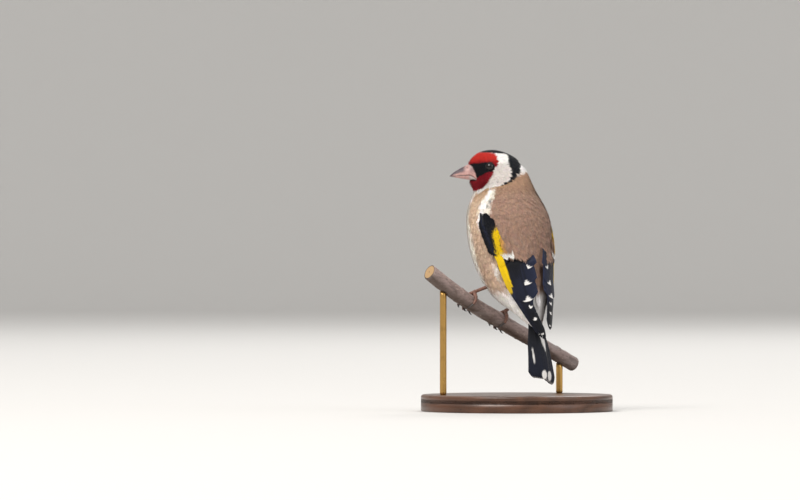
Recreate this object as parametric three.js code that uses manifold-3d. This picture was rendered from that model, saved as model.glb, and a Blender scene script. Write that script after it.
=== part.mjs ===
// A life-size European goldfinch, perched on a short cut length of branch above a round stand.
// Millimetres, +Z up. The bird faces -Y with its left side towards +X and its head turned to its left.
// The bird is drawn from the lowest tail tip upwards, and the whole group is lifted onto the stand.
import * as THREE from "three";
import { mergeVertices } from "three/addons/utils/BufferGeometryUtils.js";
import Module from "manifold-3d";

const wasm = await Module();
wasm.setup();

// Driving dimensions
const GAP = 0.32; // clear space between pieces that touch
const BASE_RADIUS = 46;
const BASE_HEIGHT = 8;
const BASE_CHAMFER = 1.2;
const TAIL_CLEARANCE = 5; // from the tail tip to the top of the base
const STAND_CENTRE = { x: -2.5, y: 3 }; // below the bird's weight, in the bird's own frame
const ROD_RADIUS = 1.6;
const ROD_SPOTS = [
  { name: "stand_rod_high", x: 33 },
  { name: "stand_rod_low", x: -36 },
];

const PERCH_Y = -8;
const PERCH_HEIGHT = 30.5; // height of the perch's axis where x is 0
const PERCH_SLOPE = 0.486; // rise for each millimetre towards the bird's left
const PERCH_BEND = 0.0035; // curl upwards past the feet, towards the bird's left
const PERCH_BEND_START = 10;
const PERCH_LEFT = 41;
const PERCH_RIGHT = -45;
const PERCH_RADIUS_LEFT = 3.8;
const PERCH_RADIUS_RIGHT = 3.45;

const HEAD_CENTRE = new THREE.Vector3(2.9, -7.1, 101.5);
const HEAD_TURN = THREE.MathUtils.degToRad(55); // to the bird's left of straight ahead
const EYE_RADIUS = 2.35;
const EYE_FORWARD = 2.9;
const EYE_UP = 2.9;
const EYE_SIDE = 6.75;
const LID_RADIUS = 2.05;
const LID_THICKNESS = 0.42;
const BILL_ROOT = 11.2;
const BILL_TIP = 21.6;
const BILL_DROP = 1.9; // how far the tip lies below the middle of the root
const BILL_HALF_DEPTH = 4.0;
const BILL_HALF_WIDTH = 3.5;

const VANE_THICKNESS = 0.56;
const TAIL_FEATHERS = 12;
const TARSUS_RADIUS = 0.72;
const TOE_RADIUS = 0.68;
const ANKLE_RADIUS = 1.05;
const ANKLE_TURN = -8; // degrees round the perch from its top, towards the bird's back
const ANKLE_LIFT = 2.1; // from the bark to the middle of the ankle

// Level sections of the torso and neck: height, middle in y, half width, half depth, and share of the
// head's turn.
const TORSO_SECTIONS = [
  [26.8, 23.0, 1.8, 1.1, 0],
  [28.4, 21.9, 4.2, 3.1, 0],
  [31, 20.0, 5.4, 4.9, 0],
  [35, 16.2, 8.0, 8.2, 0],
  [40, 10.9, 11.9, 13.2, 0],
  [46, 7.6, 14.9, 16.1, 0],
  [54, 4.3, 17.5, 18.6, 0],
  [63, 1.9, 19.3, 20.3, 0],
  [73, 0.4, 20.2, 21.0, 0],
  [81, -0.9, 19.7, 20.0, 0],
  [88, -2.6, 17.0, 17.5, 0.2],
  [94, -3.9, 13.2, 14.7, 0.7],
  [100, -4.3, 10.0, 12.3, 1],
  [104.5, -4.3, 7.8, 9.9, 1],
  [107.6, -4.1, 3.6, 5.2, 1],
];

// Sections of the head, square to its own forward axis: forward, middle in height, half width, half height.
const HEAD_SECTIONS = [
  [-12.3, 1.2, 2.6, 2.6],
  [-11.0, 0.9, 5.4, 5.2],
  [-8.6, 0.6, 7.5, 7.4],
  [-4.4, 0.3, 8.9, 9.6],
  [0.2, 0.3, 9.3, 10.8],
  [4.6, 0.2, 9.0, 10.7],
  [8.2, 0.1, 8.1, 9.9],
  [10.6, 0.0, 7.0, 9.1],
  [12.5, 0.0, 5.4, 7.3],
  [13.6, 0.1, 3.5, 4.7],
];

// The folded left wing: height, leading edge x and y, inner edge x and y, bulge of the sheet between them.
const WING_SECTIONS = [
  [85, 17.6, 2.0, 8.0, 13.5, 2.4],
  [76, 19.4, 6.2, 5.5, 18.6, 2.6],
  [62, 17.6, 12.3, 2.6, 22.0, 2.5],
  [48, 13.6, 17.3, 1.5, 23.9, 1.8],
  [37, 8.6, 21.7, 1.0, 25.4, 1.2],
  [29, 5.0, 24.9, -0.5, 27.2, 0.7],
  [21.5, 0.4, 28.0, -1.2, 28.6, 0.3],
];

const COLOURS = {
  mantle: { color: 0x9c7763, roughness: 0.9 },
  face: { color: 0xb0121c, roughness: 0.85 },
  breast: { color: 0xc9b39c, roughness: 0.9 },
  bill: { color: 0xd9b3a2, roughness: 0.45 },
  eye: { color: 0x0c0a0b, roughness: 0.1 },
  wing: { color: 0x14161f, roughness: 0.6 },
  leg: { color: 0x8a5a48, roughness: 0.6 },
  claw: { color: 0x2c2422, roughness: 0.4 },
  bark: { color: 0x7a6a66, roughness: 0.85 },
  base: { color: 0x3a2a20, roughness: 0.4 },
  rod: { color: 0xb08d57, roughness: 0.35, metalness: 1 },
};

// Solids

// A closed solid from vertex coordinates and triangles.
function solidFrom(vertices, triangles) {
  return new wasm.Manifold(
    new wasm.Mesh({
      numProp: 3,
      vertProperties: new Float32Array(vertices.flatMap((v) => [v.x, v.y, v.z])),
      triVerts: new Uint32Array(triangles.flat()),
    }),
  );
}

// A closed solid from a three.js geometry.
function solidOf(geometry, matrix = new THREE.Matrix4()) {
  const bare = geometry.clone().applyMatrix4(matrix);
  bare.deleteAttribute("normal");
  bare.deleteAttribute("uv");
  const merged = mergeVertices(bare, 1e-4);
  return new wasm.Manifold(
    new wasm.Mesh({
      numProp: 3,
      vertProperties: new Float32Array(merged.attributes.position.array),
      triVerts: new Uint32Array(merged.index.array),
    }),
  );
}

function union(solids) {
  return solids.reduce((whole, one) => whole.add(one));
}

function largest(solid) {
  const bodies = solid.decompose().sort((a, b) => b.volume() - a.volume());
  return bodies[0];
}

// Rings of equal length joined into a closed body. Quads past the half of a ring are split the other way,
// so that the two faces of a thin sheet have matching triangles.
function skinRings(rings, sheet = false) {
  const count = rings[0].length;
  const vertices = rings.flat();
  const triangles = [];
  for (let i = 0; i + 1 < rings.length; i++) {
    for (let j = 0; j < count; j++) {
      const k = (j + 1) % count;
      const [a, b] = [i * count + j, i * count + k];
      const [c, d] = [a + count, b + count];
      if (sheet && j >= count / 2) triangles.push([a, b, c], [b, d, c]);
      else triangles.push([a, b, d], [a, d, c]);
    }
  }
  const last = (rings.length - 1) * count;
  if (sheet) {
    for (let j = 0; j + 1 < count / 2; j++) {
      const far = count - 1 - j;
      triangles.push([j, far, far - 1], [j, far - 1, j + 1]);
      triangles.push([last + j, last + far - 1, last + far], [last + j, last + j + 1, last + far - 1]);
    }
  } else {
    const middle = (ring) => ring.reduce((sum, v) => sum.add(v), new THREE.Vector3()).divideScalar(count);
    vertices.push(middle(rings[0]), middle(rings.at(-1)));
    const [start, end] = [vertices.length - 2, vertices.length - 1];
    for (let j = 0; j < count; j++) {
      const k = (j + 1) % count;
      triangles.push([start, k, j], [end, last + j, last + k]);
    }
  }
  const made = solidFrom(vertices, triangles);
  if (made.volume() > 0) return made;
  return solidFrom(vertices, triangles.map(([a, b, c]) => [a, c, b]));
}

// Smooth values between the rows of a table whose first column is the place.
function between(rows, place) {
  const rising = rows.at(-1)[0] > rows[0][0];
  let i = rows.findIndex((row) => (rising ? row[0] >= place : row[0] <= place));
  if (i < 0) i = rows.length - 1;
  i = Math.max(1, i);
  const [a, b] = [rows[i - 1], rows[i]];
  const before = rows[i - 2] ?? a;
  const after = rows[i + 1] ?? b;
  const t = THREE.MathUtils.clamp((place - a[0]) / (b[0] - a[0]), 0, 1);
  return a.map((value, k) => {
    const slopeA = (b[k] - before[k]) / (b[0] - before[0]);
    const slopeB = (after[k] - value) / (after[0] - a[0]);
    const step = b[0] - a[0];
    return (
      (2 * t ** 3 - 3 * t ** 2 + 1) * value +
      (t ** 3 - 2 * t ** 2 + t) * step * slopeA +
      (-2 * t ** 3 + 3 * t ** 2) * b[k] +
      (t ** 3 - t ** 2) * step * slopeB
    );
  });
}

function steps(from, to, count) {
  return Array.from({ length: count }, (_, i) => from + ((to - from) * i) / (count - 1));
}

function at(x, y, z) {
  return new THREE.Vector3(x, y, z);
}

// Angles evenly round a full turn.
function circle(sides) {
  return steps(0, 2 * Math.PI, sides + 1).slice(0, sides);
}

// A tapering round limb along a smooth curve, with a radius at each end and a rounded finish.
function limb(points, radiusStart, radiusEnd, sides = 10, lengths = 8) {
  const path = new THREE.CatmullRomCurve3(points);
  const frames = path.computeFrenetFrames(lengths - 1);
  const rings = steps(0, 1, lengths).map((t, i) => {
    const centre = path.getPointAt(t);
    const radius = THREE.MathUtils.lerp(radiusStart, radiusEnd, t);
    return circle(sides).map((angle) =>
      centre
        .clone()
        .addScaledVector(frames.normals[i], radius * Math.cos(angle))
        .addScaledVector(frames.binormals[i], radius * Math.sin(angle)),
    );
  });
  return skinRings(rings);
}

// Torso, neck and head

function torsoSolid(grow) {
  const sides = 36;
  const [low, high] = [TORSO_SECTIONS[0][0], TORSO_SECTIONS.at(-1)[0]];
  const rings = steps(low, high, 22).map((height, i, all) => {
    const [, middle, halfWidth, halfDepth, turn] = between(TORSO_SECTIONS, height);
    const lift = i === 0 ? -grow : i === all.length - 1 ? grow : 0;
    return circle(sides).map((angle) => {
      const own = angle - turn * HEAD_TURN;
      const reach = 1 / Math.hypot(Math.cos(own) / (halfWidth + grow), Math.sin(own) / (halfDepth + grow));
      return at(reach * Math.cos(angle), middle + reach * Math.sin(angle), height + lift);
    });
  });
  return skinRings(rings);
}

// From the head's own forward, left and up to the bird's frame.
const HEAD_FORWARD = at(Math.sin(HEAD_TURN), -Math.cos(HEAD_TURN), 0);
const HEAD_LEFT = at(Math.cos(HEAD_TURN), Math.sin(HEAD_TURN), 0);
function onHead(forward, left, up) {
  return HEAD_CENTRE.clone()
    .addScaledVector(HEAD_FORWARD, forward)
    .addScaledVector(HEAD_LEFT, left)
    .add(at(0, 0, up));
}

function headSolid(grow) {
  const sides = 34;
  const [back, front] = [HEAD_SECTIONS[0][0], HEAD_SECTIONS.at(-1)[0]];
  const rings = steps(0, 1, 18).map((t, i, all) => {
    const forward = back + (front - back) * (0.5 - 0.5 * Math.cos(Math.PI * t));
    const [, middle, halfWidth, halfHeight] = between(HEAD_SECTIONS, forward);
    const shift = i === 0 ? -grow : i === all.length - 1 ? grow : 0;
    return circle(sides).map((angle) =>
      onHead(
        forward + shift,
        (halfWidth + grow) * Math.cos(angle),
        middle + (halfHeight + grow) * Math.sin(angle),
      ),
    );
  });
  return skinRings(rings);
}

// A thin slab through a point, square to a direction, that parts a body.
function slab(point, direction, thickness = GAP, size = 80) {
  const turn = new THREE.Quaternion().setFromUnitVectors(at(0, 0, 1), direction.clone().normalize());
  const matrix = new THREE.Matrix4().compose(point, turn, at(1, 1, 1));
  return solidOf(new THREE.BoxGeometry(size, size, thickness), matrix);
}

function eyePlace(side) {
  return onHead(EYE_FORWARD, side * EYE_SIDE, EYE_UP);
}

function sphere(centre, radius, detail = 18) {
  const matrix = new THREE.Matrix4().makeTranslation(centre);
  return solidOf(new THREE.SphereGeometry(radius, detail, Math.round(detail * 0.7)), matrix);
}

// The swollen rim of the eyelids, a ring that faces out to the side.
function lidRing(side) {
  const outward = HEAD_LEFT.clone().multiplyScalar(side);
  const turn = new THREE.Quaternion().setFromUnitVectors(at(0, 0, 1), outward);
  const place = onHead(EYE_FORWARD, side * (EYE_SIDE + 1.35), EYE_UP);
  const matrix = new THREE.Matrix4().compose(place, turn, at(1, 0.94, 1));
  return solidOf(new THREE.TorusGeometry(LID_RADIUS, LID_THICKNESS, 6, 20), matrix);
}

function fleshNodes() {
  const whole = torsoSolid(0).add(headSolid(0));
  const neckTop = slab(at(0, -4, 95.2), at(0.26, -0.18, 0.95));
  const neckFoot = slab(at(0, -4, 88.5), at(0.12, -0.08, 1));
  const parts = whole.subtract(neckTop).subtract(neckFoot).decompose();
  const height = (solid) => (solid.boundingBox().min[2] + solid.boundingBox().max[2]) / 2;
  const [torso, neck, head] = parts.sort((a, b) => height(a) - height(b));
  let face = head;
  for (const side of [1, -1]) {
    face = face.add(lidRing(side));
    face = face.subtract(sphere(eyePlace(side), EYE_RADIUS + GAP));
  }
  return { torso, neck, head: largest(face) };
}

// The bill, parted along the line of the mouth.
function billNodes() {
  const rings = steps(0, 1, 9).map((t) => {
    const forward = THREE.MathUtils.lerp(BILL_ROOT, BILL_TIP, t);
    const taper = Math.pow(1 - t, 0.86) + 0.05;
    return circle(18).map((angle) =>
      onHead(
        forward,
        BILL_HALF_WIDTH * taper * Math.cos(angle),
        0.35 - BILL_DROP * t + BILL_HALF_DEPTH * taper * Math.sin(angle),
      ),
    );
  });
  const mouthAt = onHead(BILL_TIP, 0, -BILL_DROP + 0.1);
  const mouthUp = at(0, 0, 1).addScaledVector(HEAD_FORWARD, 0.06);
  const bill = skinRings(rings).subtract(headSolid(GAP));
  const [upper, lower] = bill
    .subtract(slab(mouthAt, mouthUp))
    .decompose()
    .sort((a, b) => b.boundingBox().max[2] - a.boundingBox().max[2]);
  const nostrils = [1, -1].map((side) => sphere(onHead(14.6, side * 2.5, 3.2), 0.55, 8));
  return { upper: largest(upper.subtract(union(nostrils))), lower };
}

// Feathers

// Outlines of a long feather and a covert: share of its length and share of its full width.
const FLIGHT_OUTLINE = [
  [0, 0.5],
  [0.3, 0.88],
  [0.65, 1],
  [0.88, 0.84],
  [1, 0.26],
];
const COVERT_OUTLINE = [
  [0, 0.6],
  [0.45, 1],
  [0.8, 0.9],
  [1, 0.36],
];

// A feather as a thin closed sheet. place(u) gives its middle line, and normal(u) the way its face looks.
function vane(place, normal, width, outline = FLIGHT_OUTLINE) {
  const rings = outline.map(([u, share]) => {
    const centre = place(u);
    const ahead = place(Math.min(1, u + 0.02));
    const behind = place(Math.max(0, u - 0.02));
    const out = normal(u);
    const across = ahead.sub(behind).cross(out).normalize();
    const half = (width * share) / 2;
    const thin = VANE_THICKNESS * (u === 1 ? 0.7 : 1);
    const edge = (side, face) =>
      centre
        .clone()
        .addScaledVector(across, side * half)
        .addScaledVector(out, face * thin * 0.5 - (side ? 0.1 * half : 0));
    return [edge(-1, 1), edge(0, 1), edge(1, 1), edge(1, -1), edge(0, -1), edge(-1, -1)];
  });
  return skinRings(rings, true);
}

// A place on the folded wing: height, share from the inner edge to the leading edge, and height over
// the sheet.
function onWing(side, height, share, over) {
  const [, leadX, leadY, innerX, innerY, bulge] = between(WING_SECTIONS, height);
  const lead = at(leadX, leadY, height);
  const inner = at(innerX, innerY, height);
  const out = wingOut(height);
  const point = inner.lerp(lead, share).addScaledVector(out, bulge * 4 * share * (1 - share) + over);
  if (side > 0) return point;
  const droop = THREE.MathUtils.clamp((60 - height) / 38, 0, 1);
  return at(-0.93 * point.x - 4.4 * droop ** 1.8, point.y - 0.6 * droop, point.z + 4.6 * droop ** 2);
}

function wingOut(height) {
  const [, leadX, leadY, innerX, innerY] = between(WING_SECTIONS, height);
  const chord = at(leadX - innerX, leadY - innerY, 0);
  return at(-chord.y, chord.x, 0).normalize().add(at(0, 0, -0.06)).normalize();
}

function wingNormal(side, height) {
  const out = wingOut(height);
  return side > 0 ? out : at(-out.x, out.y, out.z);
}

// One feather of a folded wing, from its root to its tip on the wing's sheet.
function wingVane(side, { root, tip, width, over }, outline) {
  const height = (u) => THREE.MathUtils.lerp(root[0], tip[0], u);
  const place = (u) => {
    const share = THREE.MathUtils.lerp(root[1], tip[1], u);
    return onWing(side, height(u), share, THREE.MathUtils.lerp(over[0], over[1], u));
  };
  return vane(place, (u) => wingNormal(side, height(u)), width, outline);
}

// A tier of feathers, each at a share of the way between the tier's first and last feather.
function tier(side, count, first, last, outline = FLIGHT_OUTLINE) {
  return steps(0, 1, count).map((share) => {
    const mix = (a, b) => THREE.MathUtils.lerp(a, b, share);
    const pair = (name) => [mix(first[name][0], last[name][0]), mix(first[name][1], last[name][1])];
    const feather = {
      root: pair("root"),
      tip: pair("tip"),
      over: pair("over"),
      width: mix(first.width, last.width),
    };
    return wingVane(side, feather, outline);
  });
}

// The fleshy part of the wing that all its feathers grow from.
function wingPad(side) {
  const rings = steps(82, 43, 8).map((height) => {
    const reach = THREE.MathUtils.lerp(0.9, 0.97, THREE.MathUtils.smoothstep(height, 38, 60));
    const shares = steps(0.08, reach, 4);
    const face = THREE.MathUtils.lerp(0.35, -0.5, THREE.MathUtils.smoothstep(height, 66, 80));
    const outer = shares.map((share) => onWing(side, height, share, face));
    const inner = shares.map((share) => onWing(side, height, share, -2.2)).reverse();
    return [...outer, ...inner];
  });
  return skinRings(rings, true);
}

function wing(side, body) {
  const primaries = tier(
    side,
    8,
    { root: [60, 0.92], tip: [21.6, 0.5], over: [0.3, 0.1], width: 4.4 },
    { root: [58, 0.62], tip: [37, 0.45], over: [0.4, 0.8], width: 5.6 },
  );
  const secondaries = tier(
    side,
    5,
    { root: [61, 0.72], tip: [39.5, 0.6], over: [0.1, 0.9], width: 6.2 },
    { root: [61, 0.45], tip: [43, 0.42], over: [0.1, 1.1], width: 6.6 },
  );
  const tertials = tier(
    side,
    3,
    { root: [66, 0.42], tip: [40.5, 0.4], over: [-0.2, 1.3], width: 7.2 },
    { root: [68, 0.28], tip: [56, 0.34], over: [-0.2, 1.7], width: 7.2 },
  );
  const greaterCoverts = tier(
    side,
    6,
    { root: [70, 0.74], tip: [58, 0.86], over: [-0.4, 0.9], width: 4.8 },
    { root: [70, 0.34], tip: [60, 0.42], over: [-0.6, 1.3], width: 5 },
    COVERT_OUTLINE,
  );
  const primaryCoverts = tier(
    side,
    3,
    { root: [72, 0.94], tip: [59, 0.95], over: [-0.3, 0.6], width: 3.6 },
    { root: [74, 0.8], tip: [63, 0.84], over: [-0.3, 0.9], width: 4.2 },
    COVERT_OUTLINE,
  );
  const lesserCoverts = tier(
    side,
    4,
    { root: [81, 0.9], tip: [70, 0.93], over: [-1, 0.9], width: 4.6 },
    { root: [81, 0.6], tip: [69, 0.62], over: [-1, 0.9], width: 4.8 },
    COVERT_OUTLINE,
  );
  const feathers = [primaries, secondaries, tertials, greaterCoverts, primaryCoverts, lesserCoverts];
  return largest(union([wingPad(side), ...feathers.flat()]).subtract(body));
}

// Tail feathers fan from one root and lie in a stack, the middle pair on top.
const TAIL_ROOT = at(0, 21.3, 32);
function tailNode(body) {
  const middle = (TAIL_FEATHERS - 1) / 2;
  const vanes = steps(0, TAIL_FEATHERS - 1, TAIL_FEATHERS).map((i) => {
    const out = (middle - i) / middle; // 1 at the bird's left, -1 at its right
    const under = Math.abs(out) * 1.7;
    const tipHeight = 2.4 + 1.7 * out - 0.7 * Math.abs(out);
    const root = TAIL_ROOT.clone().add(at(out * 1.7, -under * 0.5, 0));
    const tip = at(-1.4 + out * 5, 27.6 - under, tipHeight);
    const place = (u) => root.clone().lerp(tip, u).add(at(0, 1.1 * Math.sin(Math.PI * u), 0));
    return vane(place, () => at(out * 0.12, 0.985, 0.17).normalize(), 6.2);
  });
  const coverts = limb([at(0, 20.8, 33), at(-0.1, 22.4, 26), at(-0.3, 24.3, 16)], 3.7, 1.6, 12, 5);
  return largest(union([coverts, ...vanes]).subtract(body));
}

// Perch

const PERCH_ALONG = at(1, 0, PERCH_SLOPE).normalize();
const PERCH_UP = at(-PERCH_ALONG.z, 0, PERCH_ALONG.x);
function perchAxis(x) {
  const bend = PERCH_BEND * Math.max(0, x - PERCH_BEND_START) ** 2;
  return at(x, PERCH_Y, PERCH_HEIGHT + PERCH_SLOPE * x + bend);
}
function perchRadius(x) {
  const share = (x - PERCH_RIGHT) / (PERCH_LEFT - PERCH_RIGHT);
  return THREE.MathUtils.lerp(PERCH_RADIUS_RIGHT, PERCH_RADIUS_LEFT, share);
}

// A place round the perch: degrees from its top towards the bird's front, distance from its bark, and
// shift along it.
function roundPerch(x, degrees, off, along = 0) {
  const angle = THREE.MathUtils.degToRad(degrees);
  const radius = perchRadius(x) + off;
  return perchAxis(x)
    .addScaledVector(PERCH_UP, radius * Math.cos(angle))
    .add(at(0, -radius * Math.sin(angle), 0))
    .addScaledVector(PERCH_ALONG, along);
}

// The cut length of branch, grown by a clearance where other pieces are cut back from it.
function perchSolid(grow) {
  const rings = steps(PERCH_RIGHT - grow, PERCH_LEFT + grow, 12).map((x) =>
    steps(0, 337.5, 16).map((degrees) => roundPerch(x, degrees, grow)),
  );
  return skinRings(rings);
}

// Legs and feet

// Each foot's place along the perch, and the heel that its shank rises to, inside the belly's feathers.
const FEET = [
  { side: "left", x: 17.4, heel: at(12.2, 4.6, 47.8) },
  { side: "right", x: -1, heel: at(-6.2, 3.6, 41.6) },
];

// Each toe: name, degrees round the perch where it ends, spread along the perch at its end, and reach of
// its claw.
const TOES = [
  { name: "inner", end: 128, spread: -3.4, claw: 42, clawDrift: -0.8 },
  { name: "middle", end: 146, spread: 0.2, claw: 40, clawDrift: 0 },
  { name: "outer", end: 132, spread: 3.4, claw: 42, clawDrift: 0.9 },
  { name: "hind", end: -104, spread: 0.4, claw: -62, clawDrift: 1.9 },
];

function footNodes({ side, x }) {
  const lift = TOE_RADIUS + GAP;
  const joint = roundPerch(x, ANKLE_TURN, ANKLE_LIFT);
  const pieces = [sphere(joint, ANKLE_RADIUS, 10)];
  const claws = [];
  for (const toe of TOES) {
    const turn = (share) => THREE.MathUtils.lerp(0, toe.end, share);
    const route = [0.25, 0.5, 0.75, 1].map((share) => roundPerch(x, turn(share), lift, toe.spread * share));
    pieces.push(limb([joint, ...route], TOE_RADIUS * 1.05, TOE_RADIUS * 0.8, 7, 8));
    const clawRoute = [0, 0.35, 0.7, 1].map((share) =>
      roundPerch(x, toe.end + toe.claw * share, lift + 0.5 * share ** 2, toe.spread + toe.clawDrift * share),
    );
    const toeEnd = clawRoute[0].clone().sub(clawRoute[1]).normalize();
    const rooted = clawRoute.map((point) => point.clone().addScaledVector(toeEnd, -GAP));
    claws.push([`claw_${toe.name}_${side}`, limb(rooted, TOE_RADIUS * 0.72, 0.14, 7, 6)]);
  }
  return { foot: largest(union(pieces)), claws };
}

function legNode({ x, heel }, body) {
  const joint = roundPerch(x, ANKLE_TURN, ANKLE_LIFT);
  const direction = heel.clone().sub(joint).normalize();
  const low = joint.clone().addScaledVector(direction, ANKLE_RADIUS + GAP);
  const shank = limb([low, low.clone().lerp(heel, 0.5), heel], TARSUS_RADIUS, TARSUS_RADIUS * 1.15, 10, 4);
  return largest(shank.subtract(body));
}

// Stand

function baseNode() {
  const profile = [
    new THREE.Vector2(0, 0),
    new THREE.Vector2(BASE_RADIUS, 0),
    new THREE.Vector2(BASE_RADIUS, BASE_HEIGHT - BASE_CHAMFER),
    new THREE.Vector2(BASE_RADIUS - BASE_CHAMFER, BASE_HEIGHT),
    new THREE.Vector2(0, BASE_HEIGHT),
  ];
  const upright = new THREE.Matrix4().makeRotationX(Math.PI / 2);
  const place = at(STAND_CENTRE.x, STAND_CENTRE.y, -TAIL_CLEARANCE - BASE_HEIGHT);
  const matrix = new THREE.Matrix4().makeTranslation(place).multiply(upright);
  return solidOf(new THREE.LatheGeometry(profile, 64), matrix);
}

function rodNode(x) {
  const foot = -TAIL_CLEARANCE + GAP;
  const top = perchAxis(x).z;
  const cylinder = new THREE.CylinderGeometry(ROD_RADIUS, ROD_RADIUS, top - foot, 20);
  const upright = new THREE.Matrix4().makeRotationX(Math.PI / 2);
  const place = new THREE.Matrix4().makeTranslation(x, PERCH_Y, (top + foot) / 2);
  return largest(solidOf(cylinder, place.multiply(upright)).subtract(perchSolid(GAP)));
}

// The scene graph

const bird = new THREE.Group();
bird.position.set(-STAND_CENTRE.x, -STAND_CENTRE.y, BASE_HEIGHT + TAIL_CLEARANCE);

function addNode(name, solid, colour) {
  const { numProp, vertProperties, triVerts } = solid.getMesh();
  const positions = new Float32Array((vertProperties.length / numProp) * 3);
  for (let i = 0; i < positions.length / 3; i++) {
    positions.set(vertProperties.subarray(i * numProp, i * numProp + 3), i * 3);
  }
  const geometry = new THREE.BufferGeometry();
  geometry.setAttribute("position", new THREE.BufferAttribute(positions, 3));
  geometry.setIndex(new THREE.BufferAttribute(triVerts, 1));
  geometry.computeVertexNormals();
  const mesh = new THREE.Mesh(geometry, new THREE.MeshStandardMaterial(COLOURS[colour]));
  mesh.name = name;
  bird.add(mesh);
}

const body = torsoSolid(GAP);
const flesh = fleshNodes();
const bill = billNodes();
addNode("torso", flesh.torso, "mantle");
addNode("neck", flesh.neck, "breast");
addNode("head", flesh.head, "face");
addNode("bill_upper", bill.upper, "bill");
addNode("bill_lower", bill.lower, "bill");
for (const [side, sign] of [["left", 1], ["right", -1]]) {
  addNode(`eye_${side}`, sphere(eyePlace(sign), EYE_RADIUS), "eye");
  addNode(`wing_${side}`, wing(sign, body), "wing");
}
addNode("tail", tailNode(body), "wing");
for (const stance of FEET) {
  const { foot, claws } = footNodes(stance);
  addNode(`leg_${stance.side}`, legNode(stance, body), "leg");
  addNode(`foot_${stance.side}`, foot, "leg");
  for (const [name, claw] of claws) addNode(name, claw, "claw");
}
addNode("perch", perchSolid(0), "bark");
addNode("stand_base", baseNode(), "base");
for (const { name, x } of ROD_SPOTS) addNode(name, rodNode(x), "rod");

export default bird;
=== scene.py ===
"""A life-size European goldfinch on a cut length of branch, held over a round wooden base.

The bird's own frame is in millimetres, +Z up, with its breast towards -Y and its left side towards +X.
Pieces are drawn in that frame and set down on the stand in metres.
"""
import math

import bpy
import numpy as np
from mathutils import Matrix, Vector, noise
from mathutils.bvhtree import BVHTree
from mathutils.kdtree import KDTree


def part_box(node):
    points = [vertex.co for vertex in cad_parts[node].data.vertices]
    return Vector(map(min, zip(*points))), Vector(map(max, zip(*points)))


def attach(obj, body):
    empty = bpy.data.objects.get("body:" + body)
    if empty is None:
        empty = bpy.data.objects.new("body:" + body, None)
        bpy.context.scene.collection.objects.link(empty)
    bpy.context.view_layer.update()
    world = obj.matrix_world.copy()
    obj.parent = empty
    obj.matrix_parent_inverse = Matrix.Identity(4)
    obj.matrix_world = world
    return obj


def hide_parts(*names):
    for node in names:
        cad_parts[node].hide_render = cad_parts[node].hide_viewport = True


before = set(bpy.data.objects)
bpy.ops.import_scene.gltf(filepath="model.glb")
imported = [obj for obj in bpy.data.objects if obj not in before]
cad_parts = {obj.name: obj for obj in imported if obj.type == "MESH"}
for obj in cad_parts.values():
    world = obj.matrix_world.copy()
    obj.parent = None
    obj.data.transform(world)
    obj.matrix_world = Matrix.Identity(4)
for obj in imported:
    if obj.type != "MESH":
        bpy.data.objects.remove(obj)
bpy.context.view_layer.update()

bl_info = {
    "name": "Goldfinch on a perch",
    "version": (1, 0, 0),
    "blender": (4, 5, 0),
    "location": "View3D > Sidebar > Goldfinch",
    "description": "Skin, feathers, bill, eyes, feet, perch and stand of a life-size goldfinch",
    "category": "Add Mesh",
}

# Sizes that the solids share, in millimetres
MM = 0.001
BIRD_AT = np.array((2.5, -3.0, 13.0))
HEAD_AT = np.array((2.9, -7.1, 101.5))
HEAD_TURN = math.radians(55)
HEAD_FORWARD = np.array((math.sin(HEAD_TURN), -math.cos(HEAD_TURN), 0.0))
HEAD_LEFT = np.array((math.cos(HEAD_TURN), math.sin(HEAD_TURN), 0.0))
UP = np.array((0.0, 0.0, 1.0))
EYE_FORWARD, EYE_SIDE, EYE_UP, EYE_RADIUS = 2.65, 6.75, 2.65, 2.35
EYE_SHOWN = 1.85  # radius of the part of the eye that the lids leave open
PERCH_Y, PERCH_HEIGHT, PERCH_SLOPE = -8.0, 30.5, 0.486
PERCH_BEND, PERCH_BEND_START = 0.0035, 10.0
PERCH_RIGHT, PERCH_LEFT = -45.0, 41.0
PERCH_RADII = (3.45, 3.8)
GAP = 0.32  # between the rods and the perch or base

# The body's middle in y at each height, and the folded left wing's sheet: height, leading edge x and y,
# inner edge x and y, bulge between them.
BODY_MIDDLE = [(27, 22.3), (40, 10.9), (54, 4.3), (63, 1.9), (73, 0.4), (88, -2.6), (100, -4.3)]
WING_SECTIONS = [
    (21.5, 0.4, 28.0, -1.2, 28.6, 0.3), (29, 5.0, 24.9, -0.5, 27.2, 0.7), (37, 8.6, 21.7, 1.0, 25.4, 1.2),
    (48, 13.6, 17.3, 1.5, 23.9, 1.8), (62, 17.6, 12.3, 2.6, 22.0, 2.5), (76, 19.4, 6.2, 5.5, 18.6, 2.6),
    (85, 17.6, 2.0, 8.0, 13.5, 2.4),
]
# The right wing is a narrower mirror image, which droops more and more below one height
RIGHT_NARROW, DROOP_FROM, DROOP_OVER = 0.93, 60.0, 38.0
# Share of its width that the face keeps at each place forward, and how far that holds at each height
FACE_WIDTH = [(3, 1.0), (4.5, 0.96), (6, 0.85), (8, 0.69), (9.5, 0.60), (11, 0.57), (13, 0.60)]
FACE_NARROWED = [(-13, 0.0), (-9, 0.8), (-4, 1.0), (4, 1.0), (9, 0.55)]
SWELL = 0.3  # how far solids grow before they merge into one surface, which then shrinks back
SUPPORT_VOXEL = 0.0008  # size of the smallest form that the feathers lie on, in metres
SMALL_FEATHER, FINE_BARBS = 2.6, 6  # feathers shorter than this have few barbs
BARB_SPACING = 0.00032  # from one barb of a flight feather to the next, in metres


# Small maths

def smooth(low, high, value):
    """0 below low, 1 above high, and a soft step between."""
    t = np.clip((value - low) / (high - low), 0, 1)
    return t * t * (3 - 2 * t)


def along(points, value):
    """The second column of a short table at a place in its first."""
    places, values = zip(*points)
    return np.interp(value, places, values)


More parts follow.
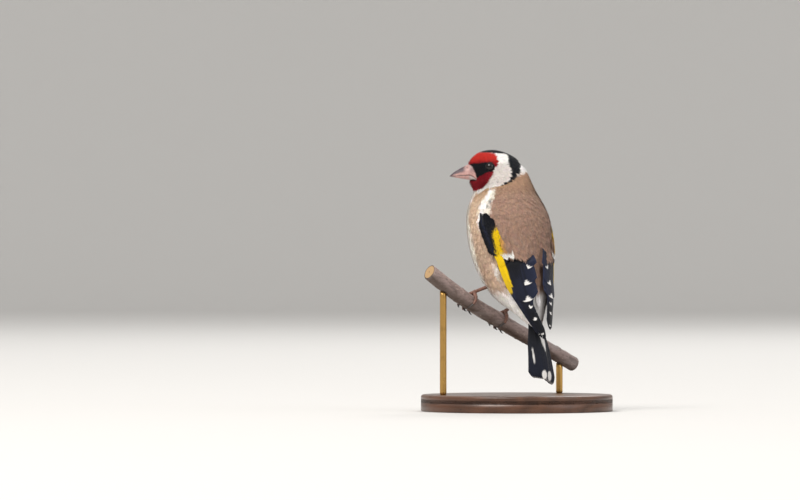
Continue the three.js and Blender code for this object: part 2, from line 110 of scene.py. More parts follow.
def unit(v):
    return v / np.maximum(np.linalg.norm(v, axis=-1, keepdims=True), 1e-9)


def mix(a, b, share):
    return a + (b - a) * np.asarray(share)[..., None]


def between(rows, place):
    """Smooth values between the rows of a table whose first column is the place, which rises."""
    rows = np.array(rows, float)
    place = np.clip(np.asarray(place, float), rows[0, 0], rows[-1, 0])
    i = np.clip(np.searchsorted(rows[:, 0], place), 1, len(rows) - 1)
    a, b = rows[i - 1], rows[i]
    before, after = rows[np.maximum(i - 2, 0)], rows[np.minimum(i + 1, len(rows) - 1)]
    step = b[..., :1] - a[..., :1]
    t = (place[..., None] - a[..., :1]) / step
    slope_a = (b - before) / (b[..., :1] - before[..., :1]) * step
    slope_b = (after - a) / (after[..., :1] - a[..., :1]) * step
    return (
        (2 * t**3 - 3 * t**2 + 1) * a
        + (t**3 - 2 * t**2 + t) * slope_a
        + (-2 * t**3 + 3 * t**2) * b
        + (t**3 - t**2) * slope_b
    )


def curve(points, count):
    """Points evenly spread in number along a smooth curve through a few given ones."""
    points = np.array(points, float)
    places = np.arange(len(points), dtype=float)
    table = np.column_stack([places, points])
    return between(table, np.linspace(0, len(points) - 1, count))[:, 1:]


def linear(hexadecimal):
    """A web colour as linear red, green and blue."""
    parts = np.array([int(hexadecimal[i : i + 2], 16) / 255 for i in (1, 3, 5)])
    return np.where(parts <= 0.04045, parts / 12.92, ((parts + 0.055) / 1.055) ** 2.4)


def on_head(forward, left, up):
    """From the head's own axes to the bird's frame."""
    axes = np.multiply.outer(forward, HEAD_FORWARD) + np.multiply.outer(left, HEAD_LEFT)
    return HEAD_AT + axes + np.multiply.outer(up, UP)


def head_axes(points):
    """Forward, left and up of the head, for points in the bird's frame."""
    from_head = points - HEAD_AT
    return from_head @ HEAD_FORWARD, from_head @ HEAD_LEFT, from_head[..., 2]


def slim_face(points):
    """Draws the sides of the face in towards the bill, which the round head leaves too broad."""
    forward, left, up = head_axes(points)
    kept = 1 - (1 - along(FACE_WIDTH, forward)) * along(FACE_NARROWED, up)
    back = 1.0 * smooth(3.5, 8.5, up) * smooth(6, 11, forward)
    back = (back + 0.7 * smooth(-2.5, -5.0, up) * smooth(8, 12, forward)) * smooth(-13, -9, up)
    moved = points - np.multiply.outer(left * (1 - kept), HEAD_LEFT)
    return moved - np.multiply.outer(back, HEAD_FORWARD)


def body_turn(points):
    """Degrees round the body from the middle of the breast, the same to both sides."""
    middle = along(BODY_MIDDLE, points[..., 2])
    return np.degrees(np.arctan2(np.abs(points[..., 0]), middle - points[..., 1]))


def wing_chord(height):
    """Leading edge x and y, inner edge x and y, and bulge of the left wing's sheet at each height."""
    return np.moveaxis(between(WING_SECTIONS, height), -1, 0)[1:]


def on_wing(side, height, share, over):
    """A place on a folded wing: height, share from its inner to its leading edge, height over its sheet."""
    height, share, over = np.broadcast_arrays(*map(np.asarray, (height, share, over)))
    lead_x, lead_y, inner_x, inner_y, bulge = wing_chord(height)
    lead = np.stack([lead_x, lead_y, height], -1)
    inner = np.stack([inner_x, inner_y, height], -1)
    out = wing_out(1, height)
    point = mix(inner, lead, share) + out * (bulge * 4 * share * (1 - share) + over)[..., None]
    if side > 0:
        return point
    droop = np.clip((DROOP_FROM - height) / DROOP_OVER, 0, 1)
    mirrored = np.stack([-RIGHT_NARROW * point[..., 0], point[..., 1], point[..., 2]], -1)
    return mirrored + np.stack([-4.4 * droop**1.8, -0.6 * droop, 4.6 * droop**2], -1)


def wing_out(side, height):
    """The way a folded wing's sheet faces at each height."""
    lead_x, lead_y, inner_x, inner_y, _ = wing_chord(height)
    out = unit(np.stack([inner_y - lead_y, lead_x - inner_x, np.zeros_like(lead_x)], -1))
    out = unit(out + np.array((0, 0, -0.06)))
    return out if side > 0 else out * np.array((-1, 1, 1))


def wing_place(points):
    """Height and share on the wing's sheet for points that lie on it, with the right wing mirrored back."""
    x, y, z = np.abs(points[..., 0]), points[..., 1], points[..., 2]
    lead_x, lead_y, inner_x, inner_y, _ = wing_chord(z)
    chord_x, chord_y = lead_x - inner_x, lead_y - inner_y
    share = ((x - inner_x) * chord_x + (y - inner_y) * chord_y) / (chord_x**2 + chord_y**2)
    over = ((y - inner_y) * chord_x - (x - inner_x) * chord_y) / np.hypot(chord_x, chord_y)
    return z, share, over


# Settings that a user would change

def length_property(name, description, default, **limits):
    return bpy.props.FloatProperty(
        name=name, description=description, default=default, unit="LENGTH", precision=5, **limits,
    )


class GoldfinchSizes(bpy.types.PropertyGroup):
    """Sizes of the plumage and of the small forms."""

    coat_depth: length_property(
        "Coat depth", "From the skin to the outside of the body feathers", 0.0009, min=0.0003, max=0.002,
    )
    skin_voxel: length_property(
        "Skin grain", "Size of the skin's smallest form", 0.0007, min=0.0004, max=0.002,
    )
    feather_density: bpy.props.FloatProperty(
        name="Feather density", description="How close the body feathers stand, where 1 is a live bird's",
        default=1.0, min=0.3, max=1.5, subtype="FACTOR",
    )
    barbs: bpy.props.IntProperty(
        name="Barbs", description="Barbs on each side of a body feather", default=12, min=4, max=16,
    )
    bark_relief: length_property("Bark relief", "Height of the bark's ridges", 0.00022, min=0.0, max=0.0006)


def colour_property(name, description, web_colour):
    return bpy.props.FloatVectorProperty(
        name=name, description=description, subtype="COLOR", size=3, min=0, max=1,
        default=tuple(float(part) for part in linear(web_colour)),
    )


class GoldfinchColours(bpy.types.PropertyGroup):
    """Colours of the bird, its perch and its stand."""

    forehead: colour_property("Forehead", "Bright red above the eye", "#c22a20")
    throat: colour_property("Throat", "Dark crimson below the eye and on the chin", "#84061a")
    black: colour_property("Black", "Crown, nape bar, lores and flight feathers", "#0a0c14")
    white: colour_property("White", "Bright white behind the red face, rump and wing spots", "#f4f1ee")
    cheek: colour_property("Cheek", "Off-white of the cheek", "#dcd5d0")
    mantle: colour_property("Mantle", "Warm brown of the back", "#9d7d6b")
    mantle_dark: colour_property("Mantle streak", "Darker streaks of the back", "#7b5e4f")
    breast: colour_property("Breast", "Buff of the breast sides and flanks", "#c29b76")
    cream: colour_property("Cream", "Cream white of the underparts", "#ece5da")
    yellow: colour_property("Wing band", "Yellow of the wing band", "#f0c800")
    # Sheen: a blue-grey reflection, painted into the colours of the black wing and tail feathers
    sheen: colour_property("Wing sheen", "Blue-grey bloom on the folded wing", "#212844")
    bill: colour_property("Bill", "Pinkish ivory of the bill", "#bd938c")
    bill_tip: colour_property("Bill tip", "Dusky culmen and tip of the bill", "#3a2c37")
    leg: colour_property("Leg", "Reddish brown skin of the legs", "#8a6253")
    claw: colour_property("Claw", "Dark horn of the claws", "#2a2322")
    bark: colour_property("Bark", "Grey-brown bark", "#9b8883")
    # Dark olive-brown of the bark's streaks, scars, pith and sawn rims, also used for the painted shade on the
    # perch's underside and in its furrows
    bark_dark: colour_property("Bark shade", "Darker olive bark of the underside and cracks", "#54483f")
    heartwood: colour_property("Cut wood", "Pale wood at the cut ends of the perch", "#c9a578")
    walnut: colour_property("Base wood", "Satin walnut of the base", "#4a2f20")
    brass: colour_property("Rods", "Satin brass of the rods", "#c39a58")
    floor: colour_property("Floor", "Plain pale floor and surround", "#cccac7")


def power_property(name, description, default):
    return bpy.props.FloatProperty(name=name, description=description, default=default, min=0, unit="POWER")


class GoldfinchStage(bpy.types.PropertyGroup):
    """Camera and lights."""

    azimuth: bpy.props.FloatProperty(
        name="View angle", description="Angle of the camera round the bird, 0 facing its breast",
        default=math.radians(145), subtype="ANGLE",
    )
    distance: length_property("Camera distance", "From the camera to the bird", 3.0)
    width: length_property("Width of view", "Width of the picture at the bird", 0.384)
    key: power_property("Key light", "Power of the large soft light", 100.0)
    fill: power_property("Fill light", "Power of the light opposite the key", 26.0)
    sky: bpy.props.FloatProperty(
        name="Sky", description="Brightness of the light from all round", default=0.82, min=0,
    )


def sizes():
    return bpy.context.scene.goldfinch_sizes


def colour(tone):
    """A colour by its name in the settings; anything else is a colour already."""
    return np.array(getattr(bpy.context.scene.goldfinch_colours, tone)) if isinstance(tone, str) else tone


def layered(base, *layers):
    """A colour under others, each with the share of it that shows."""
    shade = colour(base)
    for tone, share in layers:
        shade = mix(shade, colour(tone), share)
    return shade


# Materials

class Wire:
    """A socket of a material, on which Python's arithmetic adds Math nodes."""

    def __init__(self, paint, socket):
        self.paint, self.socket = paint, socket

    def maths(self, operation, *values):
        return self.paint.add("ShaderNodeMath", {"operation": operation}, dict(enumerate(values)))

    def __add__(self, other):
        return self.maths("ADD", self, other)

    def __sub__(self, other):
        return self.maths("SUBTRACT", self, other)

    def __rsub__(self, other):
        return self.maths("SUBTRACT", other, self)

    def __mul__(self, other):
        return self.maths("MULTIPLY", self, other)

    def __abs__(self):
        return self.maths("ABSOLUTE", self)

    __radd__, __rmul__ = __add__, __mul__

    def wave(self):
        """A sine between 0 and 1."""
        return self.maths("SINE", self) * 0.5 + 0.5

    def step(self, low, high):
        """0 below low, 1 above high, and a soft step between."""
        settings = {"interpolation_type": "SMOOTHSTEP", "clamp": True}
        return self.paint.add("ShaderNodeMapRange", settings, {0: self, 1: low, 2: high, 3: 0.0, 4: 1.0})


class Paint:
    """A material under construction."""

    def __init__(self, name, **constants):
        self.material = bpy.data.materials.new(name)
        self.material.use_nodes = True
        self.tree = self.material.node_tree
        self.tree.nodes.clear()
        output = self.tree.nodes.new("ShaderNodeOutputMaterial")
        self.shader = self.tree.nodes.new("ShaderNodeBsdfPrincipled")
        self.tree.links.new(self.shader.outputs["BSDF"], output.inputs["Surface"])
        for socket, value in constants.items():
            self.shader.inputs[socket.replace("_", " ")].default_value = value

    def set_socket(self, socket, value):
        if isinstance(value, Wire):
            self.tree.links.new(value.socket, socket)
        elif isinstance(value, (np.ndarray, tuple, list)):
            padded = [*map(float, value), 1.0] if len(socket.default_value) > len(value) else value
            socket.default_value = tuple(float(part) for part in padded)
        else:
            socket.default_value = value

    def add(self, kind, settings=None, inputs=None, output=0):
        """One node: its type, its settings, the values or wires of its sockets, and the output to use."""
        node = self.tree.nodes.new(kind)
        for name, value in (settings or {}).items():
            setattr(node, name, value)
        for name, value in (inputs or {}).items():
            self.set_socket(node.inputs[name], value)
        return Wire(self, node.outputs[output])

    def marking(self):
        """The colour that each point of the mesh carries."""
        return self.add("ShaderNodeVertexColor", {"layer_name": "Marking"}, output="Color")

    def blend(self, share, first, second, kind="MIX"):
        settings = {"data_type": "RGBA", "blend_type": kind}
        return self.add("ShaderNodeMix", settings, {0: share, 6: first, 7: second}, output=2)

    def place(self):
        return self.add("ShaderNodeTexCoord", output="Object")

    def grain(self, scale, detail=3.0, stretch=None, roughness=0.55):
        """Noise in the piece's own space, drawn out along the axes where stretch is small."""
        place = self.place()
        if stretch:
            place = self.add("ShaderNodeVectorMath", {"operation": "MULTIPLY"}, {0: place, 1: stretch})
        sockets = {"Vector": place, "Scale": scale, "Detail": detail, "Roughness": roughness}
        return self.add("ShaderNodeTexNoise", None, sockets, output="Fac")

    def finish(self, shade, roughness=None, height=None, depth=0.0, strength=1.0):
        """The material with its colour, its roughness, and a height map with its depth in metres."""
        self.set_socket(self.shader.inputs["Base Color"], shade)
        if roughness:
            self.set_socket(self.shader.inputs["Roughness"], roughness)
        if height:
            bump = {"Height": height, "Distance": depth, "Strength": strength}
            self.set_socket(self.shader.inputs["Normal"], self.add("ShaderNodeBump", None, bump))
        return self.material


def plumage_material():
    """Soft body feathers in the colours that each one carries."""
    paint = Paint("plumage", Sheen_Weight=0.04, Sheen_Roughness=0.5, Specular_IOR_Level=0.15)
    mottle = paint.grain(1100.0, stretch=(1.0, 1.0, 0.22))
    shade = paint.blend(0.15, paint.marking(), paint.blend(mottle, (0.45,) * 3, (1.5,) * 3), "MULTIPLY")
    return paint.finish(shade, mottle * 0.2 + 0.68)


def vane_material():
    """Flight feathers: barbs that slant forward from each shaft, with a soft gloss."""
    paint = Paint("flight_feather", Sheen_Weight=0.04, Specular_IOR_Level=0.2)
    marking = paint.marking()
    spot = paint.add("ShaderNodeUVMap", {"uv_map": "Vane"}, output="UV")
    across, down = (paint.add("ShaderNodeSeparateXYZ", None, {0: spot}, output=axis) for axis in "XY")
    barb = ((down - abs(across) * 1.5) * (2 * math.pi / BARB_SPACING)).wave()
    wear = paint.grain(700.0)
    shade = paint.blend(barb * 0.14 + wear * 0.12, marking, (0.0, 0.0, 0.0))
    lifted = paint.blend(wear.step(0.55, 0.8) * 0.15, shade, marking)
    return paint.finish(lifted, wear * 0.25 + 0.4, barb, 0.00003, 0.55)


def skin_material():
    """Skin and down under the feathers, in the same markings."""
    paint = Paint("skin", Specular_IOR_Level=0.2)
    down = paint.grain(1400.0, 2.0)
    shade = paint.blend(down * 0.3 + 0.1, paint.marking(), (0.05, 0.045, 0.045))
    return paint.finish(shade, down * 0.1 + 0.85)


def bill_material():
    """Horn, pinkish ivory with a dusky culmen and tip and a pale grey patch at the lower root."""
    paint = Paint("bill_horn", Coat_Roughness=0.3, Specular_IOR_Level=0.5)
    fibres, flecks = paint.grain(1100.0, 4.0), paint.grain(380.0, 2.0)
    shade = paint.blend(fibres.step(0.35, 0.75) * 0.3, paint.marking(), colour("bill_tip"))
    shade = paint.blend(flecks.step(0.58, 0.72) * 0.22, shade, (0.74, 0.60, 0.56))
    return paint.finish(shade, fibres * 0.2 + 0.3, fibres, 0.00004, 0.4)


def eye_material():
    """A wet dark eye with a brown iris round a black pupil."""
    paint = Paint("eye", Roughness=0.08, Coat_Weight=0.6, Coat_Roughness=0.02, Specular_IOR_Level=0.15)
    return paint.finish(paint.blend(paint.grain(1600.0, 4.0) * 0.4, paint.marking(), (0.004, 0.003, 0.003)))


def scaly_material(name, tone, dark, roughness):
    """Skin of the legs, lids and toes: fine pebbling, with painted shade in the creases between the pebbles.
    """
    paint = Paint(name, Specular_IOR_Level=0.45)
    sockets = {"Vector": paint.place(), "Scale": 2600.0}
    pebble = paint.add("ShaderNodeTexVoronoi", {"feature": "DISTANCE_TO_EDGE"}, sockets, output="Distance")
    worn = paint.grain(500.0)
    shade = paint.blend(worn.step(0.35, 0.7) * 0.6, tone, dark)
    # Painted shade: the creases between the pebbles darkened
    shade = paint.blend((1 - pebble.step(0.0, 0.16)) * 0.5, shade, dark * 0.5)
    return paint.finish(shade, worn * 0.2 + roughness, pebble, 0.00005, 0.6)


def claw_material():
    """Dark horn, streaked along the claw."""
    paint = Paint("claw_horn", Specular_IOR_Level=0.6, Coat_Roughness=0.2)
    streak = paint.grain(1500.0, stretch=(1.0, 1.0, 0.3))
    shade = paint.blend(streak.step(0.4, 0.75) * 0.5, colour("claw"), (0.16, 0.12, 0.1))
    return paint.finish(shade, streak * 0.2 + 0.25)


def bark_material():
    """Grey-brown bark with pores and thin cracks; a painted highlight on top, painted green-brown shade
    underneath.
    """
    paint = Paint("bark", Specular_IOR_Level=0.3)
    fine = paint.grain(900.0, 6.0, (0.45, 1.0, 1.0), 0.7)
    broad = paint.grain(120.0, 4.0, (0.4, 1.0, 1.0))
    shade = paint.blend(fine.step(0.42, 0.7) * 0.5, paint.marking(), colour("bark_dark") * 0.8)
    shade = paint.blend(broad.step(0.5, 0.72) * 0.4, shade, (0.42, 0.37, 0.36))
    return paint.finish(shade, fine * 0.2 + 0.68, fine + broad * 0.6, 0.00018, 0.55)


def cut_wood_material():
    """A sawn end: rings round the pith, with a dark rim of bark."""
    paint = Paint("cut_wood", Specular_IOR_Level=0.3)
    fibre = paint.grain(2600.0)
    shade = paint.blend(fibre * 0.35, paint.marking(), colour("bark_dark"))
    return paint.finish(shade, fibre * 0.1 + 0.75, fibre, 0.00005)


def walnut_material():
    """Satin walnut with long grain, fine pores and a thin varnish."""
    paint = Paint("walnut", Coat_Weight=0.25, Coat_Roughness=0.3, Specular_IOR_Level=0.4)
    swirl = paint.grain(42.0, stretch=(1.0, 0.1, 1.0))
    ring = (paint.grain(30.0, 2.0, (1.0, 0.12, 1.0)) * 46 + swirl * 6).wave()
    pores = paint.grain(1500.0, 2.0, (1.0, 0.05, 1.0)).step(0.58, 0.7)
    shade = paint.blend(ring * 0.55, colour("walnut"), colour("walnut") * 2.1)
    shade = paint.blend(pores * 0.6, shade, colour("walnut") * 0.35)
    return paint.finish(shade, pores * 0.25 + 0.34, ring * 0.3 - pores, 0.00003, 0.5)


def brass_material():
    """Satin brass, brushed round, with a little tarnish."""
    paint = Paint("brass", Metallic=1.0)
    brushed, tarnish = paint.grain(9000.0, 2.0, (0.1, 0.1, 1.0)), paint.grain(160.0, 4.0)
    shade = paint.blend(tarnish.step(0.5, 0.75) * 0.45, colour("brass"), colour("brass") * 0.45)
    return paint.finish(shade, tarnish * 0.2 + brushed * 0.1 + 0.16, brushed, 0.00001, 0.3)


def floor_material():
    """Plain pale floor."""
    paint = Paint("pale_floor", Specular_IOR_Level=0.2)
    speck = paint.grain(3.0, 2.0)
    shade = paint.blend(speck * 0.03, colour("floor"), colour("floor") * 0.85)
    return paint.finish(shade, speck * 0.05 + 0.85)


# Meshes

def make_piece(name, points, triangles, material, marking=None, unwrap=None, vane=None, normals=None):
    """A mesh object from points in the bird's frame, with its markings and maps."""
    mesh = bpy.data.meshes.new(name)
    placed = (np.asarray(points, float) + BIRD_AT) * MM
    corners = np.ascontiguousarray(triangles, dtype=np.int32)
    mesh.vertices.add(len(placed))
    mesh.vertices.foreach_set("co", placed.astype(np.float32).ravel())
    mesh.loops.add(corners.size)
    mesh.loops.foreach_set("vertex_index", corners.ravel())
    mesh.polygons.add(len(corners))
    mesh.polygons.foreach_set("loop_start", np.arange(0, corners.size, corners.shape[1], dtype=np.int32))
    mesh.polygons.foreach_set("use_smooth", np.ones(len(corners), bool))
    for layer, spots in (("OFBake", unwrap), ("Vane", vane)):
        if spots is not None:
            uv = mesh.uv_layers.new(name=layer)
            uv.data.foreach_set("uv", spots[corners.ravel()].astype(np.float32).ravel())
    if marking is not None:
        shades = np.column_stack([marking, np.ones(len(marking))]).astype(np.float32)
        layer = mesh.color_attributes.new("Marking", "FLOAT_COLOR", "POINT")
        layer.data.foreach_set("color", shades.ravel())
    mesh.update(calc_edges=True)
    mesh.validate(clean_customdata=False)
    if normals is not None:
        mesh.normals_split_custom_set_from_vertices(normals.astype(np.float32))
    mesh.materials.append(material)
    piece = bpy.data.objects.new(name, mesh)
    bpy.context.scene.collection.objects.link(piece)
    return piece


def keep(piece, slot, *nodes):
    """Sets a finished piece on the root, in place of its solids; its slot is not used."""
    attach(piece, "root")
    if nodes:
        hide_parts(*nodes)


def grid_faces(rows, columns):
    """Corner numbers of the quads of a grid of rows, whose columns close on themselves."""
    row, column = np.meshgrid(np.arange(rows - 1), np.arange(columns), indexing="ij")
    here, beside = row * columns + column, row * columns + (column + 1) % columns
    return np.stack([here, beside, beside + columns, here + columns], -1).reshape(-1, 4)


def triangles_of(quads):
    return np.concatenate([quads[:, (0, 1, 2)], quads[:, (0, 2, 3)]])


def capped(rings):
    """Points and triangles of a closed body through rings of points, with a point amid each end."""
    rows, columns = rings.shape[:2]
    points = np.concatenate([rings.reshape(-1, 3), rings[:1].mean(1), rings[-1:].mean(1)])
    start, end = rows * columns, rows * columns + 1
    here = np.arange(columns)
    after = (here + 1) % columns
    last = (rows - 1) * columns
    caps = [
        np.stack([np.full(columns, start), after, here], -1),
        np.stack([np.full(columns, end), last + here, last + after], -1),
    ]
    return points, np.concatenate([triangles_of(grid_faces(rows, columns)), *caps])


def outward(points, triangles):
    """The triangles turned so that a closed body faces out."""
    a, b, c = (points[triangles[:, i]] for i in range(3))
    volume = np.einsum("ij,ij->i", a, np.cross(b, c)).sum()
    return triangles if volume > 0 else triangles[:, ::-1]


def ringed(name, rings, material, marking=None):
    """A closed piece through rings of points."""
    points, triangles = capped(rings)
    return make_piece(name, points, outward(points, triangles), material, marking)


def tube(path, radii, sides, flat=1.0):
    """Rings round a path in the bird's frame; flat squeezes them along their second axis."""
    ahead = unit(np.gradient(path, axis=0))
    first = unit(np.cross(ahead, (0.31, 0.2, 0.93)))
    second = np.cross(ahead, first)
    turn, radii = np.linspace(0, 2 * math.pi, sides, endpoint=False), radii[:, None]
    return (
        path[:, None]
        + first[:, None] * (radii * np.cos(turn))[..., None]
        + second[:, None] * (radii * flat * np.sin(turn))[..., None]
    )


def joined(parts):
    """Points and triangles of several bodies as one."""
    offset, points, triangles = 0, [], []
    for part_points, part_triangles in parts:
        points.append(part_points)
        triangles.append(outward(part_points, part_triangles) + offset)
        offset += len(part_points)
    return np.concatenate(points), np.concatenate(triangles)


def mesh_arrays(mesh):
    """Places of a mesh's vertices, its triangles and its normals."""
    mesh.calc_loop_triangles()
    places, normals = np.zeros((2, len(mesh.vertices) * 3), np.float32)
    corners = np.zeros(len(mesh.loop_triangles) * 3, np.int32)
    mesh.vertices.foreach_get("co", places)
    mesh.vertices.foreach_get("normal", normals)
    mesh.loop_triangles.foreach_get("vertices", corners)
    return places.reshape(-1, 3), corners.reshape(-1, 3), normals.reshape(-1, 3)


def merged_surface(nodes, voxel, passes, inset=0.0):
    """One smooth closed surface round several solids: its points, triangles and normals."""
    parts = [mesh_arrays(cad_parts[node].data)[:2] for node in nodes]
    points, triangles = joined([(places / MM - BIRD_AT, corners) for places, corners in parts])
    rough = make_piece("rough", points, triangles, bpy.data.materials.new("blank"))
    steps = (
        ("DISPLACE", {"strength": SWELL * MM, "mid_level": 0.0}),
        ("REMESH", {"mode": "VOXEL", "voxel_size": voxel}),
        ("SMOOTH", {"factor": 0.5, "iterations": passes}),
        ("DISPLACE", {"strength": -(SWELL + inset) * MM, "mid_level": 0.0}),
    )
    for kind, settings in steps:
        step = rough.modifiers.new(kind, kind)
        for name, value in settings.items():
            setattr(step, name, value)
    mesh = bpy.data.meshes.new_from_object(rough.evaluated_get(bpy.context.evaluated_depsgraph_get()))
    bpy.data.objects.remove(rough)
    points = slim_face(mesh_arrays(mesh)[0].astype(float) / MM - BIRD_AT)
    mesh.vertices.foreach_set("co", ((points + BIRD_AT) * MM).astype(np.float32).ravel())
    mesh.update()
    _, triangles, normals = mesh_arrays(mesh)
    bpy.data.meshes.remove(mesh)
    return points, triangles, normals.astype(float)


# Markings, in the bird's frame

# Edges of the head's pattern on its side, in its own axes: the first column is the place looked up, forward
# for the edges that run along the head and up for those that run down it
HEAD_LOW_EDGE = [
    (-15, 0.3), (-13, -1.5), (-9.7, -2.7), (-7.6, -4.5), (-4.2, -6.2), (0.7, -6.9), (5.3, -8.6), (9.5, -11),
    (12, -13.8),
]
BAR_FRONT = [
    (-6.4, -2.4), (-5.5, -3.7), (-3.7, -6.5), (-1.9, -7.7), (0.3, -8.05), (2.7, -7.0), (5.5, -5.9),
    (7.6, -6.3), (9.5, -5.0),
]
BAR_REAR = [
    (-6.4, -4.0), (-5.7, -5.4), (-4.3, -8.2), (-2.5, -10.2), (-0.3, -11.6), (1.8, -11.8), (4.3, -12.3),
    (5.5, -11.4), (12, -10),
]
RED_REAR = [
    (-9.8, 9.6), (-6.9, 5.6), (-4.4, 3.3), (-1.2, 1.3), (1.1, 0.5), (3.8, -1.2), (5.8, -1.7), (9.4, 0.5),
    (11, 1.0),
]
CROWN_SIDE = [(-8, 8.6), (-4, 9.3), (0.5, 9.45), (4, 9.9), (7.4, 9.9), (8.6, 13)]
CHIN = [(8, -9.0), (10.5, -9.7), (14, -10.0)]
LORE_TOP = [(-0.2, 3.1), (1.0, 4.6), (2.9, 5.3), (4.8, 5.0), (8, 4.7), (12, 4.3), (14, 4.0)]
LORE_LOW = [
    (-0.2, 2.9), (0.7, 2.4), (3.4, 0.5), (5.2, -0.5), (7.1, -1.6), (9.1, -2.9), (9.7, -4.0), (14, -4.2),
]

# Degrees round the body at each height: the buff of the flank, the cream stripe and the edge of the back
BUFF_LOW = [(40, 62), (55, 74), (66, 80), (78, 72), (92, 66)]
BUFF_HIGH = [(40, 120), (60, 130), (72, 122), (78, 98), (86, 98), (93, 112)]
STRIPE = [(70, 98), (78, 101), (86, 106.5), (93, 114)]
BACK_EDGE = [(60, 118), (74, 116), (86, 119), (94, 126)]

# Share of the folded wing at each height where its yellow starts and ends, and the tan inside it
YELLOW_INNER = [
    (44.8, 1.0), (45.8, 0.90), (48.0, 0.845), (52, 0.82), (56, 0.80), (60.5, 0.80), (61.8, 0.76),
    (63.5, 0.73), (66, 0.735), (70, 0.70), (72.2, 0.705), (74.7, 0.72),
]
YELLOW_OUTER = [(60.7, 1.4), (61.6, 0.96), (64.5, 0.875), (71, 0.84), (74.7, 0.73)]
TAN = np.array((0.72, 0.36, 0.05))


def head_pattern(points, jitter):
    """Colours of the head's pattern, and how far each point belongs to it."""
    forward, _, up = head_axes(points + jitter)
    past_bar = forward - along(BAR_REAR, up)
    bar = smooth(0.2, -0.2, forward - along(BAR_FRONT, up)) * smooth(-0.2, 0.2, past_bar)
    crown = smooth(-0.15, 0.15, up - along(CROWN_SIDE, forward))
    red = smooth(-0.18, 0.18, forward - along(RED_REAR, up)) * (1 - crown)
    red = red * smooth(-0.2, 0.2, up - along(CHIN, forward))
    lores = smooth(-0.35, 0.35, along(LORE_TOP, forward) - up)
    lores = lores * smooth(-0.15, 0.15, up - along(LORE_LOW, forward)) * smooth(-0.4, 0.2, forward)
    eye_ring = smooth(2.75, 2.45, np.hypot(forward - EYE_FORWARD, up - EYE_UP))
    shade = layered(
        "cheek",
        ("white", smooth(3.6, 5.6, up)),
        ("white", smooth(-5.4, -7.0, up) * 0.6),
        ("mantle", 0.04 + 0.10 * smooth(2.0, -4.0, up) * smooth(0, -6, forward)),
        (layered("white", ("breast", smooth(1.6, -3.4, up))), smooth(0.2, -0.3, past_bar)),
        ("black", np.maximum(bar, crown)),
        (layered("throat", ("forehead", smooth(3.0, 7.4, up))), red),
        ("black", np.maximum(lores, eye_ring)),
    )
    return shade, smooth(-0.15, 0.15, up - along(HEAD_LOW_EDGE, forward))


def body_pattern(points, jitter):
    """Colours of the neck and body."""
    moved = points + jitter
    turn, height = body_turn(moved), moved[..., 2]
    buff = smooth(-7, 7, turn - along(BUFF_LOW, height)) * smooth(4, -4, turn - along(BUFF_HIGH, height))
    buff = buff * smooth(34, 42, height)
    front = smooth(5, 24, turn) * smooth(64, 76, height) * smooth(95, 89, height)
    front = front * (1 - 0.75 * smooth(46, 54, turn) * smooth(70, 60, turn))
    aside = turn - along(STRIPE, height)
    stripe = smooth(6.5, 3.5, np.abs(aside) + 1.6 * smooth(84, 94, height)) * smooth(72, 79, height)
    gap = smooth(3.3, 1.4, np.abs(aside - 7.2)) * smooth(75, 79, height) * smooth(91.5, 89.5, height)
    combed = np.maximum(smooth(-0.2, 0.4, np.sin(height * 5.5)), smooth(82, 79.5, height))
    wisp = smooth(6, 2, np.abs(turn - 113)) * smooth(4.5, 1.5, np.abs(height - 53))
    mantle = layered(
        "mantle", ("mantle_dark", 0.28 * smooth(92, 66, height)), ("breast", 0.35 * smooth(88, 97, height)),
    )
    collar = smooth(4.5, 1.0, np.abs(height - 96.5)) * smooth(150, 118, turn)
    return layered(
        "cream",
        ("white", 0.5 * smooth(70, 40, height) + 0.3 * smooth(74, 50, turn)),
        ("breast", buff * (0.72 + 0.2 * smooth(86, 94, height))),
        ("mantle", buff * 0.35 * smooth(76, 66, height)),
        ("breast", front * smooth(60, 54, turn) * 0.5),
        ("white", stripe * 0.95),
        (colour("black") * 2.0, gap * combed * 0.8),
        ("white", wisp * 0.6),
        (mantle, smooth(-3, 3, turn - along(BACK_EDGE, height))),
        ("breast", collar * 0.5),
        ("white", smooth(45.5, 41.5, height) * 0.92),
    )


def plumage_colour(points, jitter=0.0):
    """Colours of the body feathers and of the skin under them."""
    forward, _, up = head_axes(points)
    height = points[..., 2]
    edging = smooth(-1.1, -0.8, up - along(HEAD_LOW_EDGE, forward)) * smooth(-9, -7, forward)
    edging = edging * smooth(9, 6, forward) * smooth(86, 88, height)
    head, within = head_pattern(points, jitter)
    body = body_pattern(points, jitter)
    return layered(body, (colour("breast") * 0.8, edging * 0.75), (head, within * smooth(84, 86, height)))


def wing_colour(height, share, jitter):
    """Colours of the small feathers of the folded wing."""
    height, share = height + jitter[..., 0] * 1.5, share + jitter[..., 1] * 0.04
    past = share - along(YELLOW_INNER, height)
    tan = layered("mantle", (TAN, 0.75))
    tan = layered("mantle", (tan, smooth(-0.14, 0.0, past) * smooth(74, 70, height)))
    return layered(
        "black",
        # Painted sheen along the rounded leading edge of the folded wing
        ("sheen", smooth(0.06, 0.0, np.abs(share - 0.97)) * 0.5),
        (tan, smooth(0.0, -0.015, past) * smooth(59, 60, height)),
        ("yellow", yellow_band(height, share)),
        ("white", smooth(0.50, 0.54, share) * smooth(0.80, 0.77, share) * smooth(63.4, 62.0, height)),
    )


def yellow_band(height, share):
    """How far a place on the folded wing lies in its yellow band."""
    edge = smooth(-0.012, 0.012, share - along(YELLOW_INNER, height))
    edge = edge * smooth(-0.012, 0.012, along(YELLOW_OUTER, height) - share)
    return edge * smooth(44.2, 44.9, height) * smooth(75.2, 74.4, height)


# Where feathers stand and how they lie

def edge_lie(points):
    """The way the leading edge of the folded wing runs down, beside each point."""
    above, below = (between(WING_SECTIONS, points[..., 2] + step) for step in (1.5, -1.5))
    down = (below - above)[..., (1, 2, 0)]
    down[..., 0] *= np.sign(points[..., 0])
    return unit(down)


